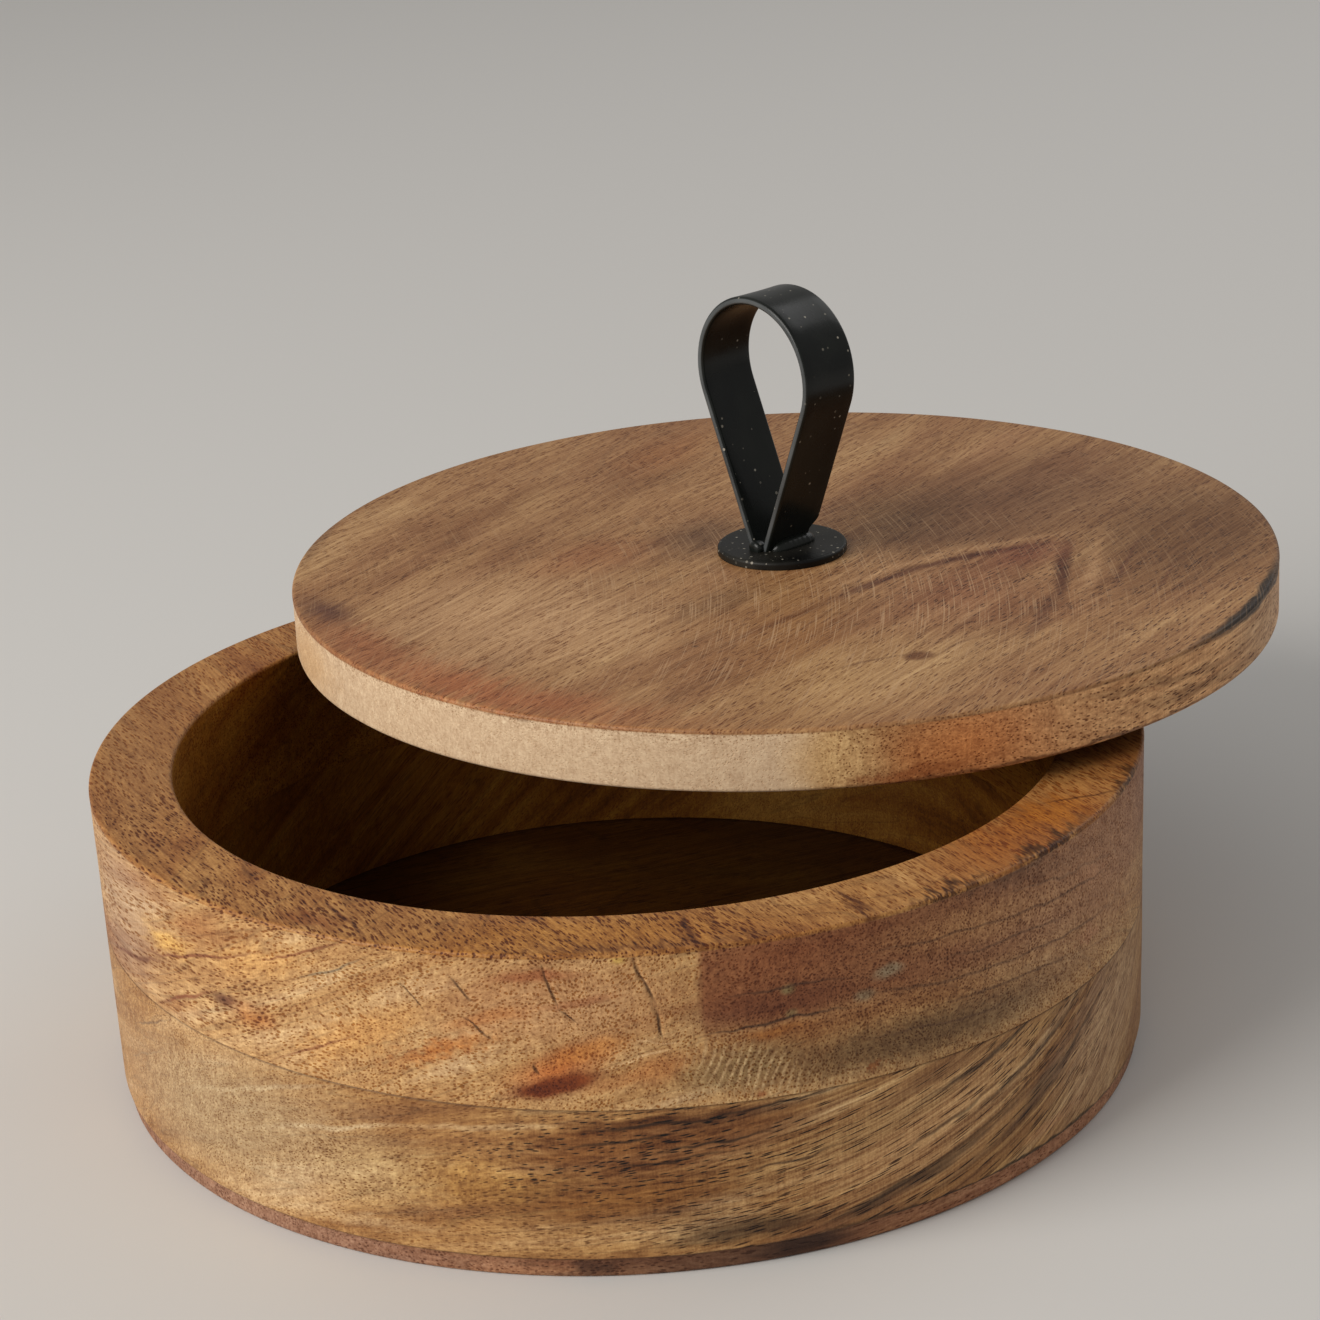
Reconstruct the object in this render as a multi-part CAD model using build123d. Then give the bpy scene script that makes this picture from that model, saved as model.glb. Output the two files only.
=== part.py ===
from build123d import *

import math
import os

# Round storage box turned from glued layers of hardwood, with a lift-off lid and a bent strap handle.
# Sizes are in millimetres. The origin is the centre of the base's underside, and +Z points up.
# The lid lies askew: it is slid aside, and the step under it rests on the rim.

# The round body
body_radius = 115.0  # at the rim
body_taper = 0.8  # by which the radius is less at the foot of the wall
body_height = 70.6
wall = 18.0
seam_height = 38.4  # glue joint between the two rings, at the middle of the box
seam_tilt = 1.4  # degrees out of level, high on the -X side
rim_round = 0.9
foot_round = 0.4

# The base board, with a step that locates it in the bore
base_edge = 4.3
base_step = 4.3
base_setback = 0.9  # the board's edge stands inside the wall
base_fit = 0.15  # radial clearance of the step in the bore
base_round = 0.8

# The lid, with a step that locates it in the bore when the box is shut
lid_radius = 115.0
lid_thickness = 13.9
lid_step = 4.8
lid_fit = 1.0  # radial clearance of the step in the bore
lid_round = 0.8
step_round = 0.5
lid_slide = 74.6  # how far the lid's centre lies from the box's centre
lid_bearing = 56.2  # degrees from +X towards +Y

# The handle: a flat steel strip bent into a loop and welded to a round flange
flange_radius = 15.2
flange_thickness = 2.0
flange_round = 0.8
strip_width = 15.5
strip_thickness = 1.9
strip_round = 0.45
loop_radius = 17.5  # of the strip's middle line, over the top
loop_centre = 42.0  # height of the round top's centre over the flange
foot_spread = 3.8  # between the two feet's middle lines, on the flange
loop_bearing = 40.0  # degrees from +X to the way one looks through the loop
notch_depth = 2.1  # cut from the rear edge of each foot
notch_height = 3.4
weld_height = 2.2  # bead between the feet
weld_leg = 1.5  # fillet bead outside each foot
weld_length = 10.0
weld_drop_radius = 1.4  # where the bead ends at the front

# The screw that holds the handle, from below
screw_radius = 2.0
screw_length = 16.0
screw_tip_gap = 0.3  # below the flange's top
screw_head_radius = 4.0
screw_head_height = 2.6
screw_head_round = 0.9
recess_width = 0.9
recess_length = 4.4
recess_depth = 1.3
tapped_fit = 0.1
hole_fit = 0.25
washer_radius = 5.5
washer_thickness = 0.8
counterbore_fit = 1.0

# Worked out from the sizes above
bore_radius = body_radius - wall
foot_radius = body_radius - body_taper
floor_height = base_edge + base_step
lid_x = lid_slide * math.cos(math.radians(lid_bearing))
lid_y = lid_slide * math.sin(math.radians(lid_bearing))
lid_top = body_height + lid_step + lid_thickness
flange_top = lid_top + flange_thickness
head_underside = flange_top - screw_tip_gap - screw_length
counterbore_ceiling = head_underside + washer_thickness


def revolved(points, rounds):
    """Turns a closed outline of (radius, height) points about Z, with some corners rounded.

    rounds maps a point's index to its rounding radius.
    """
    outline = Plane.XZ * make_face(Polyline(*points, close=True))
    for index, radius in rounds.items():
        corner = Vector(points[index][0], 0, points[index][1])
        nearest = outline.vertices().sort_by(lambda v: (v.center() - corner).length)[0]
        outline = fillet(nearest, radius)
    return revolve(outline, Axis.Z)


def drum(radius, low, high):
    """A plain cylinder on the Z axis between two heights."""
    return Pos(0, 0, low) * Cylinder(radius, high - low, align=(Align.CENTER, Align.CENTER, Align.MIN))


def seam_plane():
    """The glue joint's plane, tipped about Y so that it is high on the -X side."""
    tilt = math.radians(seam_tilt)
    return Plane(origin=(0, 0, seam_height), x_dir=(math.cos(tilt), 0, -math.sin(tilt)),
                 z_dir=(math.sin(tilt), 0, math.cos(tilt)))


def body_wall():
    """The whole turned wall, from the base board to the rim."""
    points = [
        (bore_radius, base_edge),
        (foot_radius, base_edge),
        (body_radius, body_height),
        (bore_radius, body_height),
    ]
    return revolved(points, {1: foot_round, 2: rim_round, 3: rim_round})


def base_board():
    """Disc under the wall, with the step that fits the bore and makes the inside floor."""
    edge_radius = foot_radius - base_setback
    step_radius = bore_radius - base_fit
    points = [
        (0, 0),
        (edge_radius, 0),
        (edge_radius, base_edge),
        (step_radius, base_edge),
        (step_radius, floor_height),
        (0, floor_height),
    ]
    return revolved(points, {1: base_round})


def lid_board():
    """Lid turned in one piece with its step, bored for the screw and counterbored for its head."""
    step_radius = bore_radius - lid_fit
    points = [
        (0, body_height),
        (step_radius, body_height),
        (step_radius, body_height + lid_step),
        (lid_radius, body_height + lid_step),
        (lid_radius, lid_top),
        (0, lid_top),
    ]
    board = revolved(points, {1: step_round, 3: lid_round, 4: lid_round})
    board -= drum(screw_radius + hole_fit, body_height, lid_top)
    board -= drum(washer_radius + counterbore_fit, body_height, counterbore_ceiling)
    return board


def handle_flange():
    """Round plate on the lid, tapped for the screw."""
    points = [
        (0, lid_top),
        (flange_radius, lid_top),
        (flange_radius, flange_top),
        (0, flange_top),
    ]
    plate = revolved(points, {2: flange_round})
    return plate - drum(screw_radius + tapped_fit, lid_top, flange_top)


def loop_plane():
    """Plane of the loop: X along its width, Y up, and Z to the front, against the way one looks."""
    bearing = math.radians(loop_bearing)
    return Plane(origin=(0, 0, flange_top), x_dir=(math.sin(bearing), -math.cos(bearing), 0),
                 z_dir=(-math.cos(bearing), -math.sin(bearing), 0))


def leg_lean():
    """Angle in radians by which each straight leg leans outwards, tangent to the round top."""
    foot = foot_spread / 2
    reach = math.hypot(foot, loop_centre)
    return math.acos(loop_radius / reach) - math.atan2(loop_centre, foot)


def leg_x(height, offset):
    """Distance from the loop's middle to a leg at a height over the flange.

    offset is measured outwards from the strip's middle line.
    """
    lean = leg_lean()
    return foot_spread / 2 + (offset - height * math.sin(lean)) / math.cos(lean)


def handle_strip():
    """The bent strip: two straight legs, tangent to a round top, cut flat on the flange."""
    lean = leg_lean()
    tangent = (loop_radius * math.cos(lean), loop_centre + loop_radius * math.sin(lean))
    below = -strip_thickness
    right = Line((leg_x(below, 0), below), tangent)
    sweep_angle = 180 - 2 * math.degrees(lean)
    top = CenterArc((0, loop_centre), loop_radius, math.degrees(lean), sweep_angle)
    left = Line((-tangent[0], tangent[1]), (-leg_x(below, 0), below))
    path = loop_plane() * (right + top + left)
    start = Plane(origin=path @ 0, x_dir=loop_plane().z_dir, z_dir=path % 0)
    section = start * RectangleRounded(strip_width, strip_thickness, strip_round)
    strip = split(sweep(section, path=path), bisect_by=Plane.XY.offset(flange_top), keep=Keep.TOP)
    return strip - rear_notch()


def rear_notch():
    """What is cut from the rear edge of both feet, with a sloping shoulder."""
    rear = strip_width / 2
    span = 2 * (leg_x(notch_height + notch_depth, strip_thickness) + strip_thickness)
    across = Plane(origin=(0, 0, flange_top), x_dir=-loop_plane().z_dir, z_dir=-loop_plane().x_dir)
    outline = Polyline(
        (rear - notch_depth, 0),
        (rear + strip_thickness, 0),
        (rear + strip_thickness, notch_height + notch_depth + strip_thickness),
        (rear - notch_depth, notch_height),
        close=True,
    )
    return extrude(across * make_face(outline), span / 2, both=True)


def handle_weld():
    """Weld between the feet, ending in a drop at the front, and a fillet bead outside each foot."""
    half = strip_thickness / 2
    low = leg_x(0, -half)
    high = leg_x(weld_height, -half)
    between = make_face(Polyline((-low, 0), (low, 0), (high, weld_height), (-high, weld_height), close=True))
    front = strip_width / 2
    rear = notch_depth - front
    middle = Pos(0, 0, rear) * extrude(between, front - rear)
    drop = Pos(0, weld_drop_radius / 2, front) * Sphere(weld_drop_radius)
    drop_space = Box(4 * weld_drop_radius, 2 * weld_drop_radius, 2 * weld_drop_radius)
    drop &= Pos(0, weld_drop_radius, front + weld_drop_radius) * drop_space
    beads = [middle + drop]
    foot = leg_x(0, half)
    top = leg_x(weld_leg, half)
    for side in (1, -1):
        corner = Polyline((side * foot, 0), (side * (foot + weld_leg), 0), (side * top, weld_leg), close=True)
        beads.append(extrude(make_face(corner), weld_length / 2, both=True))
    return loop_plane() * Compound([solid for bead in beads for solid in bead.solids()])


def handle_screw():
    """Pan-head screw pointing up, its thread left plain, with a cross recess in the head."""
    head_bottom = head_underside - screw_head_height
    points = [
        (0, head_bottom),
        (screw_head_radius, head_bottom),
        (screw_head_radius, head_underside),
        (screw_radius, head_underside),
        (screw_radius, head_underside + screw_length),
        (0, head_underside + screw_length),
    ]
    screw = revolved(points, {1: screw_head_round})
    for turn in (0, 90):
        slot = Box(recess_length, recess_width, 2 * recess_depth)
        screw -= Pos(0, 0, head_bottom) * Rot(0, 0, turn) * slot
    return screw


def screw_washer():
    """Flat washer between the screw's head and the counterbore."""
    ring = drum(washer_radius, head_underside, counterbore_ceiling)
    return ring - drum(screw_radius + hole_fit, head_underside, counterbore_ceiling)


def main():
    """Builds every piece where it lies and writes one file for each."""
    os.makedirs("parts", exist_ok=True)
    wall_solid = body_wall()
    box_pieces = {
        "base_board": base_board(),
        "lower_ring": split(wall_solid, bisect_by=seam_plane(), keep=Keep.BOTTOM),
        "upper_ring": split(wall_solid, bisect_by=seam_plane(), keep=Keep.TOP),
    }
    lid_pieces = {
        "lid_board": lid_board(),
        "handle_flange": handle_flange(),
        "handle_strip": handle_strip(),
        "handle_weld": handle_weld(),
        "handle_screw": handle_screw(),
        "screw_washer": screw_washer(),
    }
    for name, solid in box_pieces.items():
        export_step(solid, f"parts/{name}.step")
    for name, solid in lid_pieces.items():
        export_step(Pos(lid_x, lid_y, 0) * solid, f"parts/{name}.step")


main()
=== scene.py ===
import logging
import math
from dataclasses import dataclass, replace
from enum import Enum
from typing import Any, Union

import bpy
import numpy as np
from mathutils import Matrix


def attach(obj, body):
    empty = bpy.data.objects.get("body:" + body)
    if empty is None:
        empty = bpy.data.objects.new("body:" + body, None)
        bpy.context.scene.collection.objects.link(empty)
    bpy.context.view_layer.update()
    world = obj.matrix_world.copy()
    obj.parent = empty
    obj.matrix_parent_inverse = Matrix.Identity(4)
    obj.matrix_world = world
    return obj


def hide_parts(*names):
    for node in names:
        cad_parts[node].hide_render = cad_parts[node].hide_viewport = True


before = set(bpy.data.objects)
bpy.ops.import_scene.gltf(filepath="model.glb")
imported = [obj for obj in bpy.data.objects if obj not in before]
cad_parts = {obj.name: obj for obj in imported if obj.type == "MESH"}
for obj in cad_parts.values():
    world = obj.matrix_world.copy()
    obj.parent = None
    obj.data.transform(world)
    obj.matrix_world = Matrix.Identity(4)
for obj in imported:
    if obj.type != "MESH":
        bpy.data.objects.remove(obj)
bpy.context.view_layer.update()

log = logging.getLogger("storage_box")

MM = 0.001
LID_CENTRE = (41.5, 61.992, 0.0)  # Millimetres from the box's axis to the lid's.
RIPPLE = 1.7  # Millimetres from one ripple of curly grain to the next.

Tree = bpy.types.NodeTree
Source = Union[bpy.types.Node, bpy.types.NodeSocket]  # A node stands for its first output in use.
Point = tuple[float, float]
Place = tuple[float, float, float]


def linear(tone: str) -> tuple[float, float, float, float]:
    """Turns an sRGB hex colour into the linear one that Blender takes.

    Args:
        tone: colour as "#RRGGBB".

    Returns:
        Linear red, green and blue, and an alpha of 1.
    """
    coded = [int(tone[i:i + 2], 16) / 255 for i in (1, 3, 5)]
    red, green, blue = [c / 12.92 if c <= 0.04045 else ((c + 0.055) / 1.055) ** 2.4 for c in coded]
    return red, green, blue, 1.0


def add(tree: Tree, kind: str, inputs: dict[Any, Any], **settings: Any) -> bpy.types.Node:
    """Adds one node with its settings, values and links.

    Args:
        tree: node tree that gets the node.
        kind: Blender's name for the kind of node.
        inputs: what goes into each input, by name or number: a value, an output to link, or a node, which
            gives its first output in use.
        settings: the node's own settings.

    Returns:
        The new node.
    """
    node = tree.nodes.new(kind)
    for name, value in settings.items():
        setattr(node, name, value)
    for key, value in inputs.items():
        if isinstance(value, bpy.types.Node):
            value = next(output for output in value.outputs if output.enabled)
        if isinstance(value, bpy.types.NodeSocket):
            tree.links.new(value, node.inputs[key])
        else:
            node.inputs[key].default_value = value
    return node


def blank(name: str) -> tuple[bpy.types.Material, Tree]:
    """Starts a material.

    Args:
        name: its name.

    Returns:
        The material and its empty node tree.
    """
    material = bpy.data.materials.new(name)
    material.use_nodes = True
    material.node_tree.nodes.clear()
    return material, material.node_tree


def end_with(tree: Tree, look: dict[str, Any]) -> None:
    """Ends a material with its shader.

    Args:
        tree: the material's node tree.
        look: what goes into the shader's inputs, by name.
    """
    shader = add(tree, "ShaderNodeBsdfPrincipled", look)
    add(tree, "ShaderNodeOutputMaterial", {0: shader})


class Face(Enum):
    """Which face of a piece a point lies on. Edge is the strip's front edge, where a paler tone is painted as
    a highlight.
    """

    WALL = 0
    TOP = 1
    INNER = 2
    JOINT = 3
    EDGE = 4


class Form(Enum):
    """Outline of a mark in the wood: an oval, a block with straight sides, or an oval cut into ripples."""

    OVAL = "oval"
    BLOCK = "block"
    RIPPLES = "ripples"


@dataclass
class Skin:
    """A surface worked out in numpy, before Blender has it.

    Points are in metres, corners lists the points round each face, and faces says where each point lies.
    """

    points: np.ndarray
    corners: list[list[int]]
    faces: np.ndarray

    def moved(self, offset: Place) -> "Skin":
        """Gives the same surface, shifted by an offset in millimetres."""
        return replace(self, points=self.points + np.array(offset) * MM)

    def joined(self, other: "Skin") -> "Skin":
        """Gives one surface out of two, without merging any points.

        Args:
            other: surface to lay beside this one.

        Returns:
            Both surfaces as one.
        """
        shift = len(self.points)
        corners = self.corners + [[index + shift for index in face] for face in other.corners]
        points = np.vstack([self.points, other.points])
        return Skin(points, corners, np.concatenate([self.faces, other.faces]))


def wrapped(points: np.ndarray, faces: np.ndarray, poles: np.ndarray | None = None) -> Skin:
    """Closed surface through a grid of points. Its rows go round the piece, and the last one meets the first.

    The point in row j and column i has number j * columns + i. Without poles, the last column meets the
    first too. With poles, a fan of triangles closes each end.

    Args:
        points: the points in metres, by row and column.
        faces: face number of each point, by row and column.
        poles: the point beyond the first column and the one beyond the last.

    Returns:
        The surface.
    """
    rows, columns = faces.shape
    j = np.arange(rows)[:, None]
    i = np.arange(columns if poles is None else columns - 1)[None, :]
    next_j = (j + 1) % rows
    next_i = (i + 1) % columns
    around = [j * columns + i, next_j * columns + i, next_j * columns + next_i, j * columns + next_i]
    skin = Skin(points.reshape(-1, 3), np.stack(around, -1).reshape(-1, 4).tolist(), faces.reshape(-1))
    if poles is None:
        return skin
    first = np.arange(rows) * columns
    after = np.roll(first, -1)
    last = columns - 1
    start = np.full(rows, rows * columns)
    fans = [np.stack([start, after, first], -1), np.stack([start + 1, first + last, after + last], -1)]
    corners = skin.corners + np.concatenate(fans).tolist()
    return Skin(np.vstack([skin.points, poles]), corners, np.append(skin.faces, faces[0, [0, -1]]))


class Section:
    """Cross-section of a turned piece, drawn stretch by stretch as radius and height in millimetres.

    It goes up the outside, over the top and down the inside, so that the turned surface faces outwards.
    """

    def __init__(self, start: Point) -> None:
        """Starts a section at a point.

        Args:
            start: radius and height of the point.
        """
        self.radius = np.empty(0)
        self.height = np.empty(0)
        self.face = np.empty(0)
        self.at = start

    def extend(self, radius: np.ndarray, height: np.ndarray, face: Face) -> None:
        """Adds a stretch. Its last point is left to the next stretch, which starts there.

        Args:
            radius: radius of each point.
            height: height of each point.
            face: face of the piece that they lie on.
        """
        self.radius = np.append(self.radius, radius[:-1])
        self.height = np.append(self.height, height[:-1])
        self.face = np.append(self.face, np.full(len(radius) - 1, face.value))
        self.at = (radius[-1], height[-1])

    def run(self, end: Point, count: int, face: Face) -> None:
        """Adds a straight run, with points closer together near its ends.

        Args:
            end: where it ends.
            count: number of steps.
            face: face of the piece that it lies on.
        """
        share = np.arange(count + 1) / count
        eased = 0.45 * share + 0.55 * (1 - np.cos(math.pi * share)) / 2
        radius = self.at[0] + eased * (end[0] - self.at[0])
        height = self.at[1] + eased * (end[1] - self.at[1])
        self.extend(radius, height, face)

    def rounding(self, radius: float, start: float, count: int, face: Face) -> None:
        """Adds a quarter round: a centre plus radius times (cosine, sine) of an angle that grows by 90.

        Args:
            radius: its radius.
            start: first angle in degrees.
            count: number of steps.
            face: face of the piece that it lies on.
        """
        angle = np.radians(start + 90 * np.arange(count + 1) / count)
        across = self.at[0] + radius * (np.cos(angle) - math.cos(angle[0]))
        up = self.at[1] + radius * (np.sin(angle) - math.sin(angle[0]))
        self.extend(across, up, face)

    def on(self, face: Face) -> np.ndarray:
        """Says of each point whether it lies on a face."""
        return self.face == face.value

    def turned(self, angles: np.ndarray, hollow: bool = True, sink: np.ndarray | float = 0.0,
               lift: np.ndarray | float = 0.0) -> Skin:
        """Surface swept round Z: at angle a a point lies at ((r - sink) cos a, (r - sink) sin a, h + lift).

        A hollow piece's section closes on itself. A solid one starts and ends on the axis, where it gets a
        pole.

        Args:
            angles: the angles in radians.
            hollow: whether the piece has a hole along its axis.
            sink: how far each point lies inside the section, in millimetres.
            lift: how far it lies above the section.

        Returns:
            The closed surface.
        """
        turn = angles[:, None]
        radius = self.radius - sink + 0 * turn
        height = self.height + lift + 0 * turn
        points = np.stack([radius * np.cos(turn), radius * np.sin(turn), height], -1) * MM
        faces = np.broadcast_to(self.face, radius.shape)
        if hollow:
            return wrapped(points, faces)
        return wrapped(points[:, 1:], faces[:, 1:], points[0, [1, -1]] * (0, 0, 1))


def even_angles(count: int) -> np.ndarray:
    """Gives angles in radians, evenly spread over a full turn."""
    return np.arange(count) * 2 * math.pi / count


def hand_sanding(angles: np.ndarray, heights: np.ndarray) -> np.ndarray:
    """Unevenness that sanding by hand leaves on a turned face, in millimetres below the true face.

    It is the mean of three long waves round the piece, each with its own slant, from 0 to 0.09 mm deep.

    Args:
        angles: angle in radians of each row.
        heights: height in millimetres of each section point.

    Returns:
        Depth at each angle and section point.
    """
    a = angles[:, None]
    z = heights[None, :]
    waves = np.sin(5 * a + z / 9) + np.sin(11 * a - z / 6 + 1.3) + np.sin(17 * a + z / 4 + 4.1)
    return 0.015 * (3 - waves)


def make_piece(name: str, skin: Skin, material: bpy.types.Material, node: str, body: str) -> bpy.types.Object:
    """Makes one finished piece, which stands for its CAD node and rides on that node's body.

    Args:
        name: name of the new piece.
        skin: its surface.
        material: its finish.
        node: CAD node that it replaces.
        body: CAD body that it moves with.

    Returns:
        The new object.
    """
    mesh = bpy.data.meshes.new(name)
    mesh.from_pydata(skin.points.tolist(), [], skin.corners)
    for face in (Face.TOP, Face.INNER, Face.JOINT, Face.EDGE):
        share = mesh.attributes.new(face.name.lower() + "_face", "FLOAT", "POINT")
        share.data.foreach_set("value", (skin.faces == face.value).astype(np.float32))
    mesh.polygons.foreach_set("use_smooth", np.ones(len(mesh.polygons), bool))
    mesh.materials.append(material)
    mesh.update()
    piece = bpy.data.objects.new(name, mesh)
    bpy.context.scene.collection.objects.link(piece)
    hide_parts(node)
    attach(piece, body)
    log.info("%s: %d faces, in place of %s, on body %s", name, len(mesh.polygons), node, body)
    return piece


@dataclass(frozen=True)
class Plans:
    """Place on a face in millimetres: as it is, with a slight wander, and drawn out along the grain."""

    straight: Source
    fine: Source
    streaky: Source


@dataclass(frozen=True)
class Mark:
    """A patch, streak or line in the wood, laid over its colour.

    On a wall, at gives the distance round the piece from the front and the height. On a top it gives x and y
    from the piece's axis. Lengths are in millimetres. Bow lifts the mark's two ends above its middle. A broad
    mark is drawn out in streaks along the grain, unless it is steady.
    """

    at: Point
    size: Point
    turn: float
    tone: str
    strength: float
    bow: float = 0.0
    edge: float = 0.8
    form: Form = Form.OVAL
    steady: bool = False

    def plan(self, plans: Plans) -> Source:
        """Chooses the place that suits the mark: straight for a block, fine for a line, streaky for a patch.

        Args:
            plans: the three kinds of place.

        Returns:
            The chosen one.
        """
        if self.form is Form.BLOCK:
            return plans.straight
        return plans.fine if self.steady or self.size[1] <= 1.3 else plans.streaky

    def paint(self, tree: Tree, plans: Plans, colour: Source) -> Source:
        """Lays the mark over a colour.

        The mark's own coordinates run from -1 to 1 over its length and width. The cover of an oval falls
        smoothly from full inside to nothing where their length reaches 1. A block's cover falls by edge at
        its ends, and over the outer half of its width. Ripples are an oval cut into lines across its length.

        Args:
            tree: the material's node tree.
            plans: place on the face.
            colour: colour under the mark.

        Returns:
            The colour with the mark.
        """
        own = add(tree, "ShaderNodeMapping", {
            "Vector": self.plan(plans),
            "Location": (*self.at, 0),
            "Rotation": (0, 0, math.radians(self.turn)),
            "Scale": (*self.size, 1),
        }, vector_type="TEXTURE")
        if self.bow:
            along, across, _ = add(tree, "ShaderNodeSeparateXYZ", {0: own}).outputs
            square = add(tree, "ShaderNodeMath", {0: along, 1: along}, operation="MULTIPLY")
            bent = add(tree, "ShaderNodeMath", {0: square, 1: -self.bow / self.size[1], 2: across},
                       operation="MULTIPLY_ADD")
            own = add(tree, "ShaderNodeCombineXYZ", {0: along, 1: bent})
        if self.form is Form.BLOCK:
            size = add(tree, "ShaderNodeVectorMath", {0: own}, operation="ABSOLUTE")
            along, across, _ = add(tree, "ShaderNodeSeparateXYZ", {0: size}).outputs
            by_length = self.fall(tree, along, self.edge, self.strength)
            by_width = self.fall(tree, across, 0.5, 1.0)
            cover = add(tree, "ShaderNodeMath", {0: by_length, 1: by_width}, operation="MULTIPLY")
        else:
            reach = add(tree, "ShaderNodeVectorMath", {0: own}, operation="LENGTH")
            cover = self.fall(tree, reach, self.edge, self.strength)
        if self.form is Form.RIPPLES:
            along = add(tree, "ShaderNodeSeparateXYZ", {0: own}).outputs[0]
            wave = add(tree, "ShaderNodeMath", {0: along, 1: self.size[0] * 2 * math.pi / RIPPLE},
                       operation="MULTIPLY")
            crest = add(tree, "ShaderNodeMath", {0: wave}, operation="SINE")
            cover = add(tree, "ShaderNodeMath", {0: cover, 1: crest}, operation="MULTIPLY", use_clamp=True)
        return add(tree, "ShaderNodeMix", {0: cover, 6: colour, 7: linear(self.tone)}, data_type="RGBA")

    def fall(self, tree: Tree, reach: Source, edge: float, most: float) -> Source:
        """Smooth fall from most, where reach is 1 - edge or less, to nothing where it is 1.

        Args:
            tree: the material's node tree.
            reach: distance from the mark's middle, as a share of its size.
            edge: width of the fall.
            most: value inside.

        Returns:
            The value.
        """
        limits = {"Value": reach, "From Min": 1.0, "From Max": 1 - edge, "To Min": 0.0, "To Max": most}
        return add(tree, "ShaderNodeMapRange", limits, interpolation_type="SMOOTHSTEP")


@dataclass(frozen=True)
class Crack:
    """A short drying check in the outside of a ring: a groove in its mesh and a dark line in its colour."""

    at: Point
    half_length: float
    turn: float
    half_width: float = 0.26
    depth: float = 0.5

    def depth_at(self, round_wall: np.ndarray, heights: np.ndarray) -> np.ndarray:
        """Depth of the groove: deepest on its line, with a bell-shaped fall across and a round one along it.

        Args:
            round_wall: distance round the wall from the front, in millimetres.
            heights: heights in millimetres.

        Returns:
            Depth in millimetres at each point.
        """
        turn = math.radians(self.turn)
        right = round_wall - self.at[0]
        up = heights - self.at[1]
        along = right * math.cos(turn) + up * math.sin(turn)
        wobble = 0.25 * np.sin(along / 1.1 + self.at[0])
        across = up * math.cos(turn) - right * math.sin(turn) + wobble
        fall = np.sqrt(np.clip(1 - (along / self.half_length) ** 2, 0, 1))
        return self.depth * fall * np.exp(-(across / self.half_width) ** 2)

    def mark(self) -> Mark:
        """Gives the dark line that the groove shows."""
        return Mark(self.at, (1.3 * self.half_length, 0.42), self.turn, "#4A2A14", 0.8)


@dataclass(frozen=True)
class Bend:
    """How a layer of wood bends: slope_x x + slope_y y + twist x y + cup (x² - y²), in millimetres."""

    slope_x: float = 0.0
    slope_y: float = 0.0
    twist: float = 0.0
    cup: float = 0.0

    def height_above(self, tree: Tree, place: Source) -> Source:
        """Height of a point above the bent layer that goes through the origin.

        Args:
            tree: the material's node tree.
            place: the point, in millimetres.

        Returns:
            The height in millimetres.
        """
        x, y, z = add(tree, "ShaderNodeSeparateXYZ", {0: place}).outputs
        slopes = {0: place, 1: (self.slope_x, self.slope_y, 0)}
        sloped = add(tree, "ShaderNodeVectorMath", slopes, operation="DOT_PRODUCT")
        squares = add(tree, "ShaderNodeVectorMath", {0: place, 1: place}, operation="MULTIPLY")
        cupped = add(tree, "ShaderNodeVectorMath", {0: squares, 1: (self.cup, -self.cup, 0)},
                     operation="DOT_PRODUCT")
        product = add(tree, "ShaderNodeMath", {0: x, 1: y}, operation="MULTIPLY")
        both = add(tree, "ShaderNodeMath", {0: sloped, 1: cupped})
        layer = add(tree, "ShaderNodeMath", {0: product, 1: self.twist, 2: both}, operation="MULTIPLY_ADD")
        return add(tree, "ShaderNodeMath", {0: z, 1: layer}, operation="SUBTRACT")


@dataclass(frozen=True)
class Ground:
    """What the layers of a wood are laid on: the node tree, and each kind of place in millimetres.

    Place is the place in the board, from the piece's axis. Fibre goes along the fibres, across them and up
    from their bent layer. Wall and top are places on the unrolled wall and on the top.
    """

    tree: Tree
    place: Source
    fibre: Source
    wall: Plans
    top: Plans


def uneven(tree: Tree, place: Source, lengths: Place, detail: float, output: str = "Fac") -> Source:
    """Smooth noise with waves of a given length in each direction.

    Args:
        tree: the material's node tree.
        place: place in millimetres.
        lengths: length of a wave in each direction, in millimetres.
        detail: how many finer layers are added.
        output: "Fac" for one value, "Color" for three.

    Returns:
        The noise, mostly from 0.3 to 0.7.
    """
    scale = tuple(1 / length for length in lengths)
    spread = add(tree, "ShaderNodeVectorMath", {0: place, 1: scale}, operation="MULTIPLY")
    noise = add(tree, "ShaderNodeTexNoise", {"Vector": spread, "Scale": 1.0, "Detail": detail})
    return noise.outputs[output]


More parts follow.
